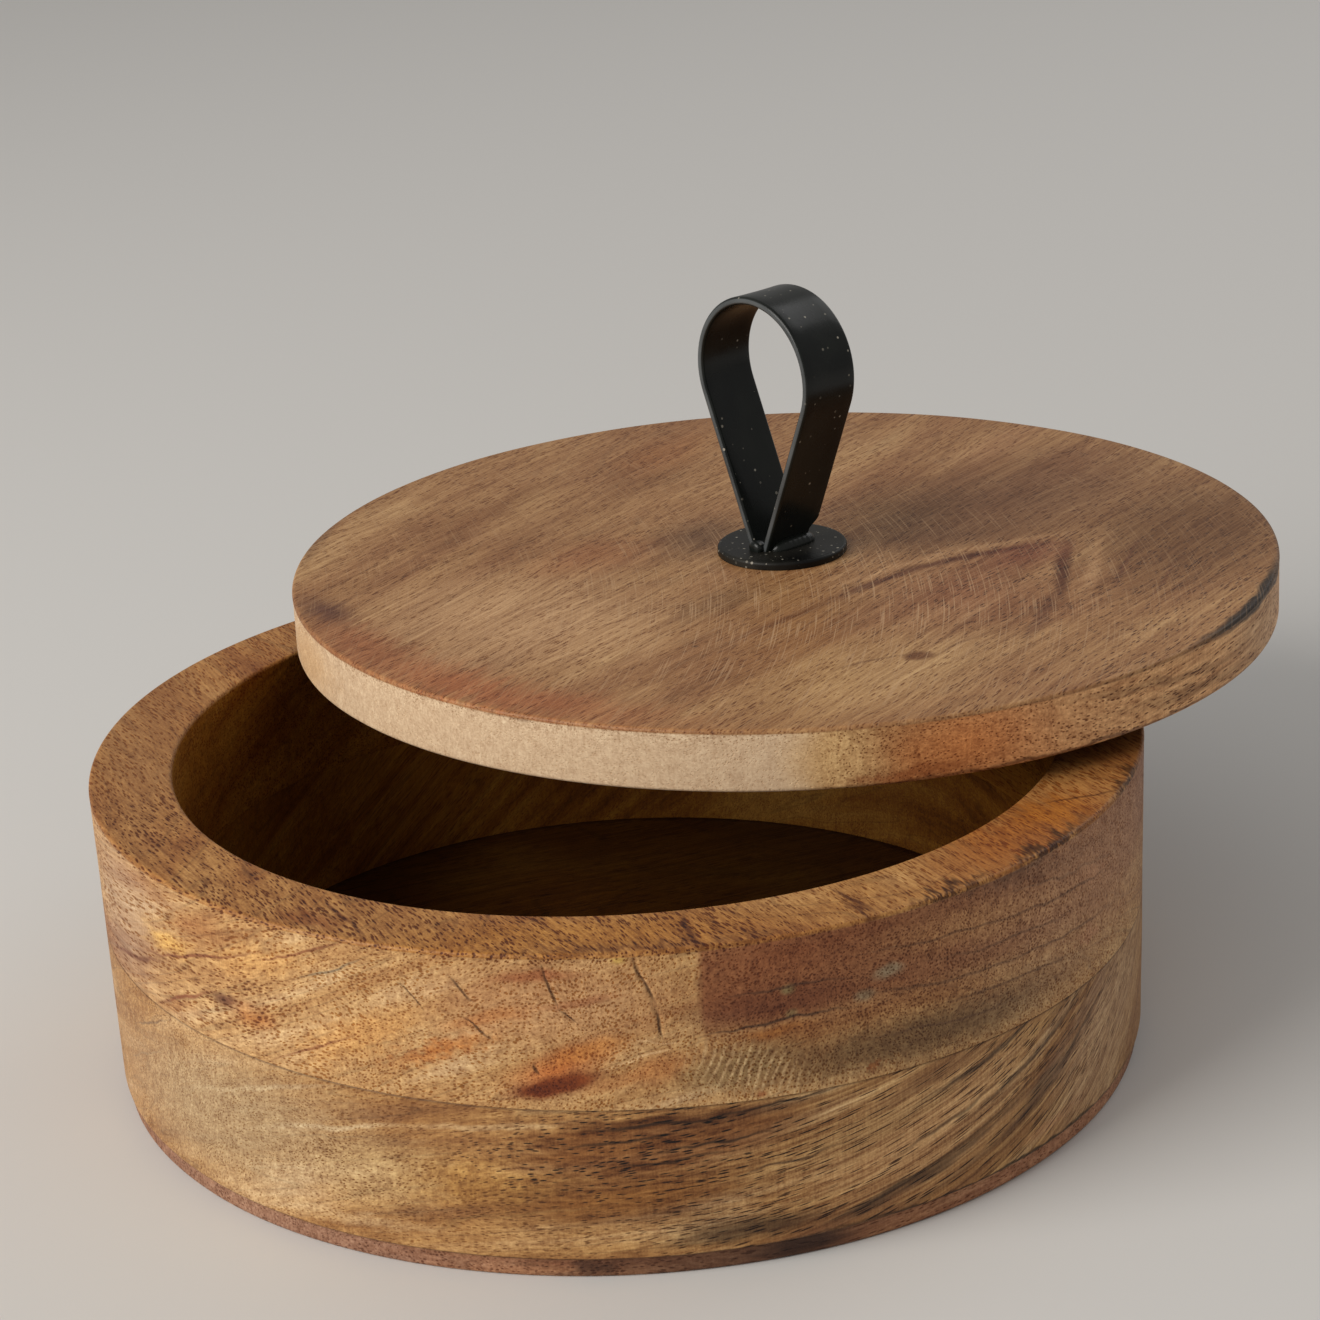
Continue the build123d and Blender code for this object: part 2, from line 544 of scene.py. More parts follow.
@dataclass(frozen=True)
class OiledHardwood:
    """Mango wood, turned, sanded and oiled.

    It gives the eye warm brown bands that follow the growth of the tree, dark pores that are dashes along the
    grain and dots across it, and the soft sheen of oil. Lengths are in millimetres. Where the fibres of a
    curled board swing round with the wall, follow says how much, and follow_from the bearing of the middle.
    """

    name: str
    tones: tuple[str, ...]
    grain: float
    centre: Place = (0.0, 0.0, 0.0)
    follow: float = 0.0
    follow_from: float = -58.0
    fibre_bend: Bend = Bend()
    growth_bend: Bend = Bend()
    growth_pitch: float = 7.0
    band_detail: float = 3.0
    line_cover: float = 0.25
    contrast: float = 1.0
    pore_tone: str = "#C8AE8A"
    pore_length: float = 3.5
    pore_spacing: float = 0.6
    pore_size: float = 0.38
    wall_marks: tuple[Mark, ...] = ()
    top_marks: tuple[Mark, ...] = ()
    pore_marks: tuple[Mark, ...] = ()
    wall_radius: float = 115.0
    scratches: float = 0.0
    scratch_tone: str = "#C9A27A"
    scratches_from: Place = (8.0, -45.0, 89.3)
    # Multiplied onto the top faces as painted shade, offsetting the light that tops get from above.
    top_shade_tone: str = "#FFFFFF"
    # Multiplied onto the inside faces: a darker inside finish, with painted shade inside the box and under
    # the lid.
    inside_tone_and_shade: str = "#DABE72"
    joint_tone: str = "#3E2818"
    roughness: float = 0.46

    def dress(self) -> bpy.types.Material:
        """Builds the material.

        Returns:
            The finished material.
        """
        material, tree = blank(self.name)
        ground = self.ground(tree)
        colour = self.marked(ground, self.bands(ground))
        colour, height = self.grained(ground, colour)
        if self.scratches:
            colour, height = self.scratched(ground, colour, height)
        rough = add(tree, "ShaderNodeMapRange", {
            "Value": height,
            "From Min": -0.6,
            "From Max": 0.6,
            "To Min": self.roughness + 0.12,
            "To Max": self.roughness - 0.05,
        })
        bump = add(tree, "ShaderNodeBump", {"Strength": 0.35, "Distance": 0.0002, "Height": height})
        # Wood under oil has an IOR near 1.5. Its open fibre ends swallow part of the sheen.
        end_with(tree, {
            "Base Color": colour,
            "Roughness": rough,
            "IOR": 1.5,
            "Specular IOR Level": 0.32,
            "Normal": bump,
        })
        return material

    def ground(self, tree: Tree) -> Ground:
        """Works out every kind of place on the piece.

        Args:
            tree: the material's node tree.

        Returns:
            The places.
        """
        source = add(tree, "ShaderNodeTexCoord", {}).outputs["Object"]
        scaled = add(tree, "ShaderNodeVectorMath", {0: source, "Scale": 1 / MM}, operation="SCALE")
        place = add(tree, "ShaderNodeVectorMath", {0: scaled, 1: self.centre}, operation="SUBTRACT")
        fibre = self.along_fibre(tree, place)
        x, y, z = add(tree, "ShaderNodeSeparateXYZ", {0: place}).outputs
        front = add(tree, "ShaderNodeMath", {0: y, 1: -1.0}, operation="MULTIPLY")
        angle = add(tree, "ShaderNodeMath", {0: x, 1: front}, operation="ARCTAN2")
        round_wall = add(tree, "ShaderNodeMath", {0: angle, 1: self.wall_radius}, operation="MULTIPLY")
        wall = add(tree, "ShaderNodeCombineXYZ", {0: round_wall, 1: z})
        top = add(tree, "ShaderNodeCombineXYZ", {0: x, 1: y})
        slow = uneven(tree, place, (8, 8, 8), 2.0, "Color")
        quick = uneven(tree, fibre, (20, 1.8, 1.8), 2.0, "Color")
        plans = [self.plans(tree, plan, turn, slow, quick) for plan, turn in ((wall, 0.0), (top, self.grain))]
        return Ground(tree, place, fibre, *plans)

    def along_fibre(self, tree: Tree, place: Source) -> Source:
        """Place by the fibres: along them, across them, and up from their bent layer.

        The fibres wander by 4 mm over about 70 mm, and by 0.7 mm over about 14 mm.

        Args:
            tree: the material's node tree.
            place: place in the board.

        Returns:
            The place as a vector.
        """
        level = self.swung(tree, place) if self.follow else place
        x, y, _ = add(tree, "ShaderNodeSeparateXYZ", {0: level}).outputs
        up = self.fibre_bend.height_above(tree, place)
        bent = add(tree, "ShaderNodeCombineXYZ", {0: x, 1: y, 2: up})
        turn = (0, 0, math.radians(self.grain))
        fibre = add(tree, "ShaderNodeMapping", {"Vector": bent, "Rotation": turn}, vector_type="TEXTURE")
        for length, width, reach in ((70, 28, 8.0), (14, 5, 1.4)):
            drift = uneven(tree, fibre, (length, width, width), 1.0, "Color")
            centred = add(tree, "ShaderNodeVectorMath", {0: drift, 1: (0.5, 0.5, 0.5)}, operation="SUBTRACT")
            fibre = add(tree, "ShaderNodeVectorMath", {0: centred, 1: (0, reach, reach), 2: fibre},
                        operation="MULTIPLY_ADD")
        return fibre

    def swung(self, tree: Tree, place: Source) -> Source:
        """Place in a board whose fibres swing round with the wall.

        The place is turned about the axis to the angle a - follow sin(a - follow_from).

        Args:
            tree: the material's node tree.
            place: place in the board.

        Returns:
            The place as a vector.
        """
        x, y, _ = add(tree, "ShaderNodeSeparateXYZ", {0: place}).outputs
        angle = add(tree, "ShaderNodeMath", {0: y, 1: x}, operation="ARCTAN2")
        past = add(tree, "ShaderNodeMath", {0: angle, 1: math.radians(self.follow_from)},
                   operation="SUBTRACT")
        swing = add(tree, "ShaderNodeMath", {0: past}, operation="SINE")
        turn = add(tree, "ShaderNodeMath", {0: swing, 1: -self.follow}, operation="MULTIPLY")
        return add(tree, "ShaderNodeVectorRotate", {"Vector": place, "Angle": turn}, rotation_type="Z_AXIS")

    def plans(self, tree: Tree, plan: Source, turn: float, slow: Source, quick: Source) -> Plans:
        """Adds the two wanders to a place on a face.

        The noise stands for a wander from -reach to reach, and it mostly stays within 0.4 of that. The fine
        wander is then 0.6 mm over 8 mm. The streaky one is 3 mm along the grain, and it changes every 1.8 mm
        across it.

        Args:
            tree: the material's node tree.
            plan: place on the face, as it is.
            turn: angle of the grain on the face, in degrees.
            slow: the fine wander's noise.
            quick: the streaky wander's noise.

        Returns:
            The three kinds of place.
        """
        along, across, reach = 8.0, 1.8, 1.5
        shifted = add(tree, "ShaderNodeVectorMath", {0: slow, 1: (2 * reach, 2 * reach, 0), 2: plan},
                      operation="MULTIPLY_ADD")
        fine = add(tree, "ShaderNodeVectorMath", {0: shifted, 1: (reach, reach, 0)}, operation="SUBTRACT")
        cosine, sine = math.cos(math.radians(turn)), math.sin(math.radians(turn))
        drawn = add(tree, "ShaderNodeMapping", {
            "Vector": quick,
            "Location": (across * sine - along * cosine, -along * sine - across * cosine, 0),
            "Rotation": (0, 0, math.radians(turn)),
            "Scale": (2 * along, 2 * across, 0),
        })
        return Plans(plan, fine, add(tree, "ShaderNodeVectorMath", {0: drawn, 1: fine}))

    def bands(self, ground: Ground) -> Source:
        """Colour of the growth bands, with thin growth lines.

        Noise is stretched 150 mm along the fibres and 45 mm across them, and it changes every growth_pitch
        from one bent layer to the next. Broad blotches about 30 mm wide are added.

        Args:
            ground: tree and places.

        Returns:
            The colour.
        """
        tree = ground.tree
        level = self.growth_bend.height_above(tree, ground.place)
        along, across, _ = add(tree, "ShaderNodeSeparateXYZ", {0: ground.fibre}).outputs
        layered = add(tree, "ShaderNodeCombineXYZ", {0: along, 1: across, 2: level})
        lengths = (150, 45, self.growth_pitch)
        growth = uneven(tree, layered, lengths, self.band_detail)
        blotch = uneven(tree, ground.place, (30, 30, 30), 2.0)
        mixed = add(tree, "ShaderNodeMix", {0: 0.35, 2: growth, 3: blotch})
        share = add(tree, "ShaderNodeMapRange", {"Value": mixed, "From Min": 0.33, "From Max": 0.67})
        ramp = add(tree, "ShaderNodeValToRGB", {0: share})
        stops = ramp.color_ramp.elements
        for number, tone in enumerate(self.tones):
            position = number / (len(self.tones) - 1)
            stop = stops[number] if number < 2 else stops.new(position)
            stop.position = position
            stop.color = linear(tone)
        smooth = uneven(tree, layered, lengths, 0.0)
        wave = add(tree, "ShaderNodeMath", {0: smooth, 1: 40.0}, operation="MULTIPLY")
        cycle = add(tree, "ShaderNodeMath", {0: wave}, operation="SINE")
        line = add(tree, "ShaderNodeMapRange", {"Value": cycle, "From Min": 0.88, "From Max": 1.0,
                                                "To Max": self.line_cover})
        return add(tree, "ShaderNodeMix", {0: line, 6: ramp, 7: linear(self.joint_tone)}, data_type="RGBA")

    def marked(self, ground: Ground, colour: Source) -> Source:
        """Lays the marks of the wall and the top over the bands, then the painted shade of the top and the
        inside, and the joint's tone.

        Args:
            ground: tree and places.
            colour: colour of the bands.

        Returns:
            The colour with the marks.
        """
        tree = ground.tree
        names = ("top_face", "inner_face", "joint_face")
        above, inside, joint = [add(tree, "ShaderNodeAttribute", {}, attribute_name=name).outputs["Fac"]
                                for name in names]
        other = add(tree, "ShaderNodeMath", {0: above, 1: inside})
        outside = add(tree, "ShaderNodeMath", {0: 1.0, 1: other}, operation="SUBTRACT")
        sides = ((ground.wall, self.wall_marks, outside), (ground.top, self.top_marks, above))
        for plans, marks, share in sides:
            painted = colour
            for mark in marks:
                painted = mark.paint(tree, plans, painted)
            colour = add(tree, "ShaderNodeMix", {0: share, 6: colour, 7: painted}, data_type="RGBA")
        # Painted shade: the top and inside faces are darkened by multiplying them with their tones.
        for share, tone in ((above, self.top_shade_tone), (inside, self.inside_tone_and_shade)):
            colour = add(tree, "ShaderNodeMix", {0: share, 6: colour, 7: linear(tone)}, data_type="RGBA",
                         blend_type="MULTIPLY")
        dark = add(tree, "ShaderNodeMath", {0: joint, 1: 0.5}, operation="MULTIPLY")
        return add(tree, "ShaderNodeMix", {0: dark, 6: colour, 7: linear(self.joint_tone)}, data_type="RGBA")

    def grained(self, ground: Ground, colour: Source) -> tuple[Source, Source]:
        """Adds fibres 0.6 mm apart, streaks 2 mm apart, the traces of sanding, and pores.

        Where the grain is darker it is also redder, so green and blue get a higher power of the shade. The
        streaks are stronger where the pores are darker. A pore is a long cell of a Voronoi pattern,
        pore_length along the fibres and pore_spacing across them. Real pores are 0.2 mm wide, and these are
        drawn about 0.4 mm wide, so that they show.

        Args:
            ground: tree and places.
            colour: colour under the grain.

        Returns:
            The colour, and the height of the surface, down to -1 in a pore.
        """
        tree, fibre = ground.tree, ground.fibre
        tone: Source = add(tree, "ShaderNodeRGB", {})
        tone.outputs[0].default_value = linear(self.pore_tone)
        for mark in self.pore_marks:
            tone = mark.paint(tree, ground.wall, tone)
        red = add(tree, "ShaderNodeSeparateColor", {0: tone})
        force = add(tree, "ShaderNodeMath", {0: 1.4, 1: red}, operation="SUBTRACT")
        layers = (
            (uneven(tree, fibre, (24, 0.6, 0.6), 1.0), 1.2),
            (uneven(tree, fibre, (40, 2.0, 2.0), 2.0), 0.9),
            (uneven(tree, ground.place, (0.6, 0.6, 7), 1.0), 0.4),
            (uneven(tree, ground.place, (0.4, 0.4, 0.4), 0.0), 0.4),
        )
        light: Source | float = 0.0
        for layer, weight in layers:
            centred = add(tree, "ShaderNodeMath", {0: layer, 1: 0.5}, operation="SUBTRACT")
            light = add(tree, "ShaderNodeMath", {0: centred, 1: weight * self.contrast, 2: light},
                        operation="MULTIPLY_ADD")
        light = add(tree, "ShaderNodeMath", {0: light, 1: force, 2: 1.0}, operation="MULTIPLY_ADD")
        shade = add(tree, "ShaderNodeVectorMath", {0: light, 1: (1.0, 1.3, 1.5)}, operation="POWER")
        colour = add(tree, "ShaderNodeVectorMath", {0: colour, 1: shade}, operation="MULTIPLY")
        spaced = (1 / self.pore_length, 1 / self.pore_spacing, 1 / self.pore_spacing)
        cells = add(tree, "ShaderNodeVectorMath", {0: fibre, 1: spaced}, operation="MULTIPLY")
        middle = add(tree, "ShaderNodeTexVoronoi", {"Vector": cells, "Scale": 1.0})
        width = add(tree, "ShaderNodeMapRange", {
            "Value": uneven(tree, fibre, (30, 5, 5), 2.0),
            "From Min": 0.32,
            "From Max": 0.68,
            "To Min": 0.76 * self.pore_size,
            "To Max": 1.2 * self.pore_size,
        })
        inside = add(tree, "ShaderNodeMath", {0: width, 1: middle}, operation="SUBTRACT")
        pore = add(tree, "ShaderNodeMath", {0: inside, 1: 6.0}, operation="MULTIPLY", use_clamp=True)
        colour = add(tree, "ShaderNodeMix", {0: pore, 6: colour, 7: tone}, data_type="RGBA",
                     blend_type="MULTIPLY")
        rise = add(tree, "ShaderNodeMath", {0: light, 1: 1.0}, operation="SUBTRACT")
        return colour, add(tree, "ShaderNodeMath", {0: rise, 1: pore}, operation="SUBTRACT")

    def scratched(self, ground: Ground, colour: Source, height: Source) -> tuple[Source, Source]:
        """Adds two sets of fine pale scratches to the top, 0.4 mm wide and curved, mostly before the handle.

        Args:
            ground: tree and places.
            colour: colour under the scratches.
            height: height of the surface.

        Returns:
            The colour and the height with the scratches.
        """
        tree = ground.tree
        x, y, _ = add(tree, "ShaderNodeSeparateXYZ", {0: ground.place}).outputs
        above = add(tree, "ShaderNodeAttribute", {}, attribute_name="top_face").outputs["Fac"]
        square = add(tree, "ShaderNodeMath", {0: y, 1: y}, operation="MULTIPLY")
        reach = add(tree, "ShaderNodeVectorMath", {0: ground.place, 1: self.scratches_from},
                    operation="DISTANCE")
        worn = add(tree, "ShaderNodeMapRange", {"Value": reach, "From Min": 85.0, "From Max": 20.0,
                                                "To Min": 0.3, "To Max": 1.0})
        spread = add(tree, "ShaderNodeMath", {0: above, 1: worn}, operation="MULTIPLY")
        for turn, curve, low, share in ((6.0, 0.0022, 0.57, 1.0), (-42.0, -0.001, 0.61, 0.7)):
            arced = add(tree, "ShaderNodeMath", {0: square, 1: curve, 2: x}, operation="MULTIPLY_ADD")
            plan = add(tree, "ShaderNodeCombineXYZ", {0: arced, 1: y})
            laid = add(tree, "ShaderNodeMapping", {
                "Vector": plan,
                "Rotation": (0, 0, math.radians(turn)),
                "Scale": (0.4, 22.0, 1.0),
            }, vector_type="TEXTURE")
            stroke = add(tree, "ShaderNodeTexNoise", {"Vector": laid, "Scale": 1.0, "Detail": 1.0})
            thin = add(tree, "ShaderNodeMapRange", {"Value": stroke, "From Min": low, "From Max": low + 0.12})
            amount = add(tree, "ShaderNodeMath", {0: thin, 1: spread}, operation="MULTIPLY")
            cover = add(tree, "ShaderNodeMath", {0: amount, 1: self.scratches * share}, operation="MULTIPLY")
            colour = add(tree, "ShaderNodeMix", {0: cover, 6: colour, 7: linear(self.scratch_tone)},
                         data_type="RGBA")
            height = add(tree, "ShaderNodeMath", {0: amount, 1: -0.25 * share, 2: height},
                         operation="MULTIPLY_ADD")
        return colour, height


@dataclass(frozen=True)
class PowderCoat:
    """Black polyester powder coat, baked on steel.

    It gives the eye a satin black with the faint orange peel of the melted powder, and a few dull specks.
    Along the strip's front edge a paler tone is painted in, as a highlight on the rounded edge.
    """

    name: str = "powder_coat_satin_black"
    tone: str = "#101312"
    worn_tone: str = "#1A1D1A"
    # Paler tone along the strip's front edge: a painted highlight.
    edge_highlight_tone: str = "#666A6C"
    speck_tone: str = "#A8A294"
    roughness: float = 0.26
    gloss: float = 0.26
    specks: float = 0.2

    def dress(self) -> bpy.types.Material:
        """Builds the material.

        Returns:
            The finished material.
        """
        material, tree = blank(self.name)
        source = add(tree, "ShaderNodeTexCoord", {}).outputs["Object"]
        # Orange peel has waves about 0.9 mm long.
        peel = add(tree, "ShaderNodeTexNoise", {"Vector": source, "Scale": 1100.0, "Detail": 1.0})
        cloud = add(tree, "ShaderNodeTexNoise", {"Vector": source, "Scale": 90.0, "Detail": 3.0})
        shade = add(tree, "ShaderNodeMapRange", {"Value": cloud, "From Min": 0.35, "From Max": 0.65})
        colour = add(tree, "ShaderNodeMix", {0: shade, 6: linear(self.tone), 7: linear(self.worn_tone)},
                     data_type="RGBA")
        # Specks 0.2 to 0.4 mm across, in a share of the cells of a 1.2 mm pattern.
        cells = add(tree, "ShaderNodeTexVoronoi", {"Vector": source, "Scale": 830.0})
        number = add(tree, "ShaderNodeSeparateColor", {0: cells.outputs["Color"]})
        size = add(tree, "ShaderNodeMapRange", {"Value": number, "From Min": 1 - self.specks, "To Max": 0.34})
        inside = add(tree, "ShaderNodeMath", {0: size, 1: cells}, operation="SUBTRACT")
        dot = add(tree, "ShaderNodeMath", {0: inside, 1: 12.0}, operation="MULTIPLY", use_clamp=True)
        faint = add(tree, "ShaderNodeMath", {0: dot, 1: number.outputs[1]}, operation="MULTIPLY")
        # The front edge band gets the paler tone, broken up by the cloud noise: a painted highlight.
        edge = add(tree, "ShaderNodeAttribute", {}, attribute_name="edge_face").outputs["Fac"]
        highlight_band = add(tree, "ShaderNodeMath", {0: edge, 1: cloud}, operation="MULTIPLY")
        for cover, tone in ((faint, self.speck_tone), (highlight_band, self.edge_highlight_tone)):
            colour = add(tree, "ShaderNodeMix", {0: cover, 6: colour, 7: linear(tone)}, data_type="RGBA")
        rough = add(tree, "ShaderNodeMapRange", {
            "Value": cloud,
            "From Min": 0.3,
            "From Max": 0.7,
            "To Min": self.roughness - 0.04,
            "To Max": self.roughness + 0.08,
        })
        bump = add(tree, "ShaderNodeBump", {"Strength": 0.12, "Distance": 0.0001, "Height": peel})
        end_with(tree, {
            "Base Color": colour,
            "Roughness": rough,
            "IOR": 1.52,
            "Specular IOR Level": self.gloss,
            "Normal": bump,
        })
        return material


@dataclass(frozen=True)
class ZincPlate:
    """Zinc plated steel, barrel plated and passivated.

    It gives the eye a pale grey metal with soft cloudy patches 2.4 mm wide and a grain of 0.2 mm.
    """

    name: str = "zinc_plated_steel"
    tone: str = "#C3C5C6"
    dull_tone: str = "#9FA3A5"
    roughness: float = 0.34

    def dress(self) -> bpy.types.Material:
        """Builds the material.

        Returns:
            The finished material.
        """
        material, tree = blank(self.name)
        source = add(tree, "ShaderNodeTexCoord", {}).outputs["Object"]
        cloud = add(tree, "ShaderNodeTexNoise", {"Vector": source, "Scale": 420.0, "Detail": 4.0})
        grain = add(tree, "ShaderNodeTexNoise", {"Vector": source, "Scale": 5200.0, "Detail": 1.0})
        shade = add(tree, "ShaderNodeMapRange", {"Value": cloud, "From Min": 0.35, "From Max": 0.65})
        colour = add(tree, "ShaderNodeMix", {0: shade, 6: linear(self.dull_tone), 7: linear(self.tone)},
                     data_type="RGBA")
        rough = add(tree, "ShaderNodeMapRange", {
            "Value": cloud,
            "From Min": 0.3,
            "From Max": 0.7,
            "To Min": self.roughness + 0.1,
            "To Max": self.roughness - 0.05,
        })
        bump = add(tree, "ShaderNodeBump", {"Strength": 0.1, "Distance": 0.00003, "Height": grain})
        end_with(tree, {
            "Base Color": colour,
            "Metallic": 1.0,
            "Roughness": rough,
            "Normal": bump,
        })
        return material


@dataclass
class RoundBody:
    """The box: a base board and two rings, glued along a tilted joint. Sizes are in millimetres."""

    rim_radius: float = 115.0
    foot_radius: float = 114.2
    bore_radius: float = 97.0
    height: float = 70.6
    seam_height: float = 37.0  # As photographed, 1.4 mm lower than between the CAD solids.
    seam_tilt: float = 1.4
    rim_round: float = 0.9
    rim_crown: float = 0.05
    foot_round: float = 0.4
    seam_arris: float = 0.13
    base_edge: float = 4.3
    floor_height: float = 8.6
    base_radius: float = 113.3
    base_round: float = 0.8
    base_fit: float = 0.15
    fine_from: float = -50.0  # The cracks lie between these two places round the wall.
    fine_to: float = 9.0
    fine_steps: int = 198
    coarse_steps: int = 440
    cracks: tuple[Crack, ...] = (
        Crack((-43, 60), 4.2, -47),
        Crack((-32.5, 62.8), 3.4, -49, half_width=0.2, depth=0.35),
        Crack((-29.9, 54.6), 4.1, -37, half_width=0.2, depth=0.4),
        Crack((-15.4, 63.9), 4.9, -73, half_width=0.22, depth=0.4),
        Crack((-12.4, 57.5), 2.6, -48, half_width=0.2, depth=0.35),
        Crack((2.6, 64.0), 5.4, -69, half_width=0.28),
        Crack((5.0, 55.2), 4.0, -80, half_width=0.26),
        Crack((-19.1, 46.3), 1.5, -50, half_width=0.18, depth=0.3),
    )

    def wall_radius(self, height: float) -> float:
        """Radius of the outside at a height: it grows evenly from the foot of the wall to the rim."""
        share = (height - self.base_edge) / (self.height - self.base_edge)
        return self.foot_radius + share * (self.rim_radius - self.foot_radius)

    def crack_angles(self) -> np.ndarray:
        """Angles for the upper ring, 0.3 mm apart at the cracks and about 1.5 mm apart elsewhere.

        Returns:
            The angles in radians, in order, once round.
        """
        low = -90 + math.degrees(self.fine_from / self.rim_radius)
        high = -90 + math.degrees(self.fine_to / self.rim_radius)
        fine = np.linspace(low, high, self.fine_steps, endpoint=False)
        coarse = np.linspace(high, low + 360, self.coarse_steps, endpoint=False)
        return np.radians(np.concatenate([fine, coarse]))

    def upper_section(self) -> Section:
        """Section of the upper ring, with the joint drawn level.

        Returns:
            The section, from the bottom of the outer wall up, over and down the bore.
        """
        arris, rim, low = self.seam_arris, self.rim_round, self.seam_height
        outer = self.wall_radius(low)
        section = Section((outer - arris, low))
        section.rounding(arris, -90, 3, Face.JOINT)
        section.run((self.rim_radius, self.height - rim), 54, Face.WALL)
        section.rounding(rim, 0, 6, Face.TOP)
        section.run((self.bore_radius + rim, self.height), 12, Face.TOP)
        section.rounding(rim, 90, 6, Face.TOP)
        section.run((self.bore_radius, low + arris), 12, Face.INNER)
        section.rounding(arris, 180, 3, Face.INNER)
        section.run((outer - arris, low), 4, Face.INNER)
        return section

    def lower_section(self) -> Section:
        """Section of the lower ring, with the joint drawn level.

        Returns:
            The section, from the bottom of the outer wall up, over and down the bore.
        """
        arris, foot, high, low = self.seam_arris, self.foot_round, self.seam_height, self.base_edge
        section = Section((self.foot_radius - foot, low))
        section.rounding(foot, -90, 5, Face.JOINT)
        section.run((self.wall_radius(high), high - arris), 44, Face.WALL)
        section.rounding(arris, 0, 3, Face.JOINT)
        section.run((self.bore_radius + arris, high), 4, Face.INNER)
        section.rounding(arris, 90, 3, Face.INNER)
        section.run((self.bore_radius, low), 12, Face.INNER)
        section.run((self.foot_radius - foot, low), 6, Face.INNER)
        return section

    def ring_skin(self, section: Section, angles: np.ndarray, upper: bool) -> Skin:
        """Turns a ring and tips its glued face.

        A point moves by -x tan(tilt) times how near it lies to the joint, so the far edge stays level.

        Args:
            section: the ring's section.
            angles: the angles in radians.
            upper: whether it is the upper ring, which has the cracks and the slightly crowned rim.

        Returns:
            The ring's surface.
        """
        far = self.height if upper else self.base_edge
        nearness = np.clip((section.height - far) / (self.seam_height - far), 0, 1)
        x = section.radius * np.cos(angles)[:, None]
        lift = -nearness * x * math.tan(math.radians(self.seam_tilt))
        wall = section.on(Face.WALL) | section.on(Face.JOINT)
        sink = hand_sanding(angles, section.height) * wall
        if upper:
            front = (angles[:, None] + 1.5 * math.pi) % (2 * math.pi) - math.pi
            for crack in self.cracks:
                sink = sink + wall * crack.depth_at(front * self.rim_radius, section.height + lift)
            across = (section.radius - self.bore_radius) / (self.rim_radius - self.bore_radius)
            crown = self.rim_crown * (1 - np.sin(math.pi * np.clip(across, 0, 1)))
            lift = lift - section.on(Face.TOP) * crown
        return section.turned(angles, sink=sink, lift=lift)

    def base_skin(self) -> Skin:
        """Turns the base board, whose step makes the inside floor.

        Returns:
            The board's surface.
        """
        step, small = self.bore_radius - self.base_fit, self.base_round
        section = Section((0, 0))
        section.run((self.base_radius - small, 0), 20, Face.INNER)
        section.rounding(small, -90, 6, Face.WALL)
        section.run((self.base_radius, self.base_edge), 6, Face.WALL)
        section.run((step, self.base_edge), 6, Face.INNER)
        section.run((step, self.floor_height), 6, Face.INNER)
        section.run((0, self.floor_height), 20, Face.INNER)
        angles = even_angles(360)
        sink = hand_sanding(angles, section.height) * section.on(Face.WALL)
        return section.turned(angles, hollow=False, sink=sink)

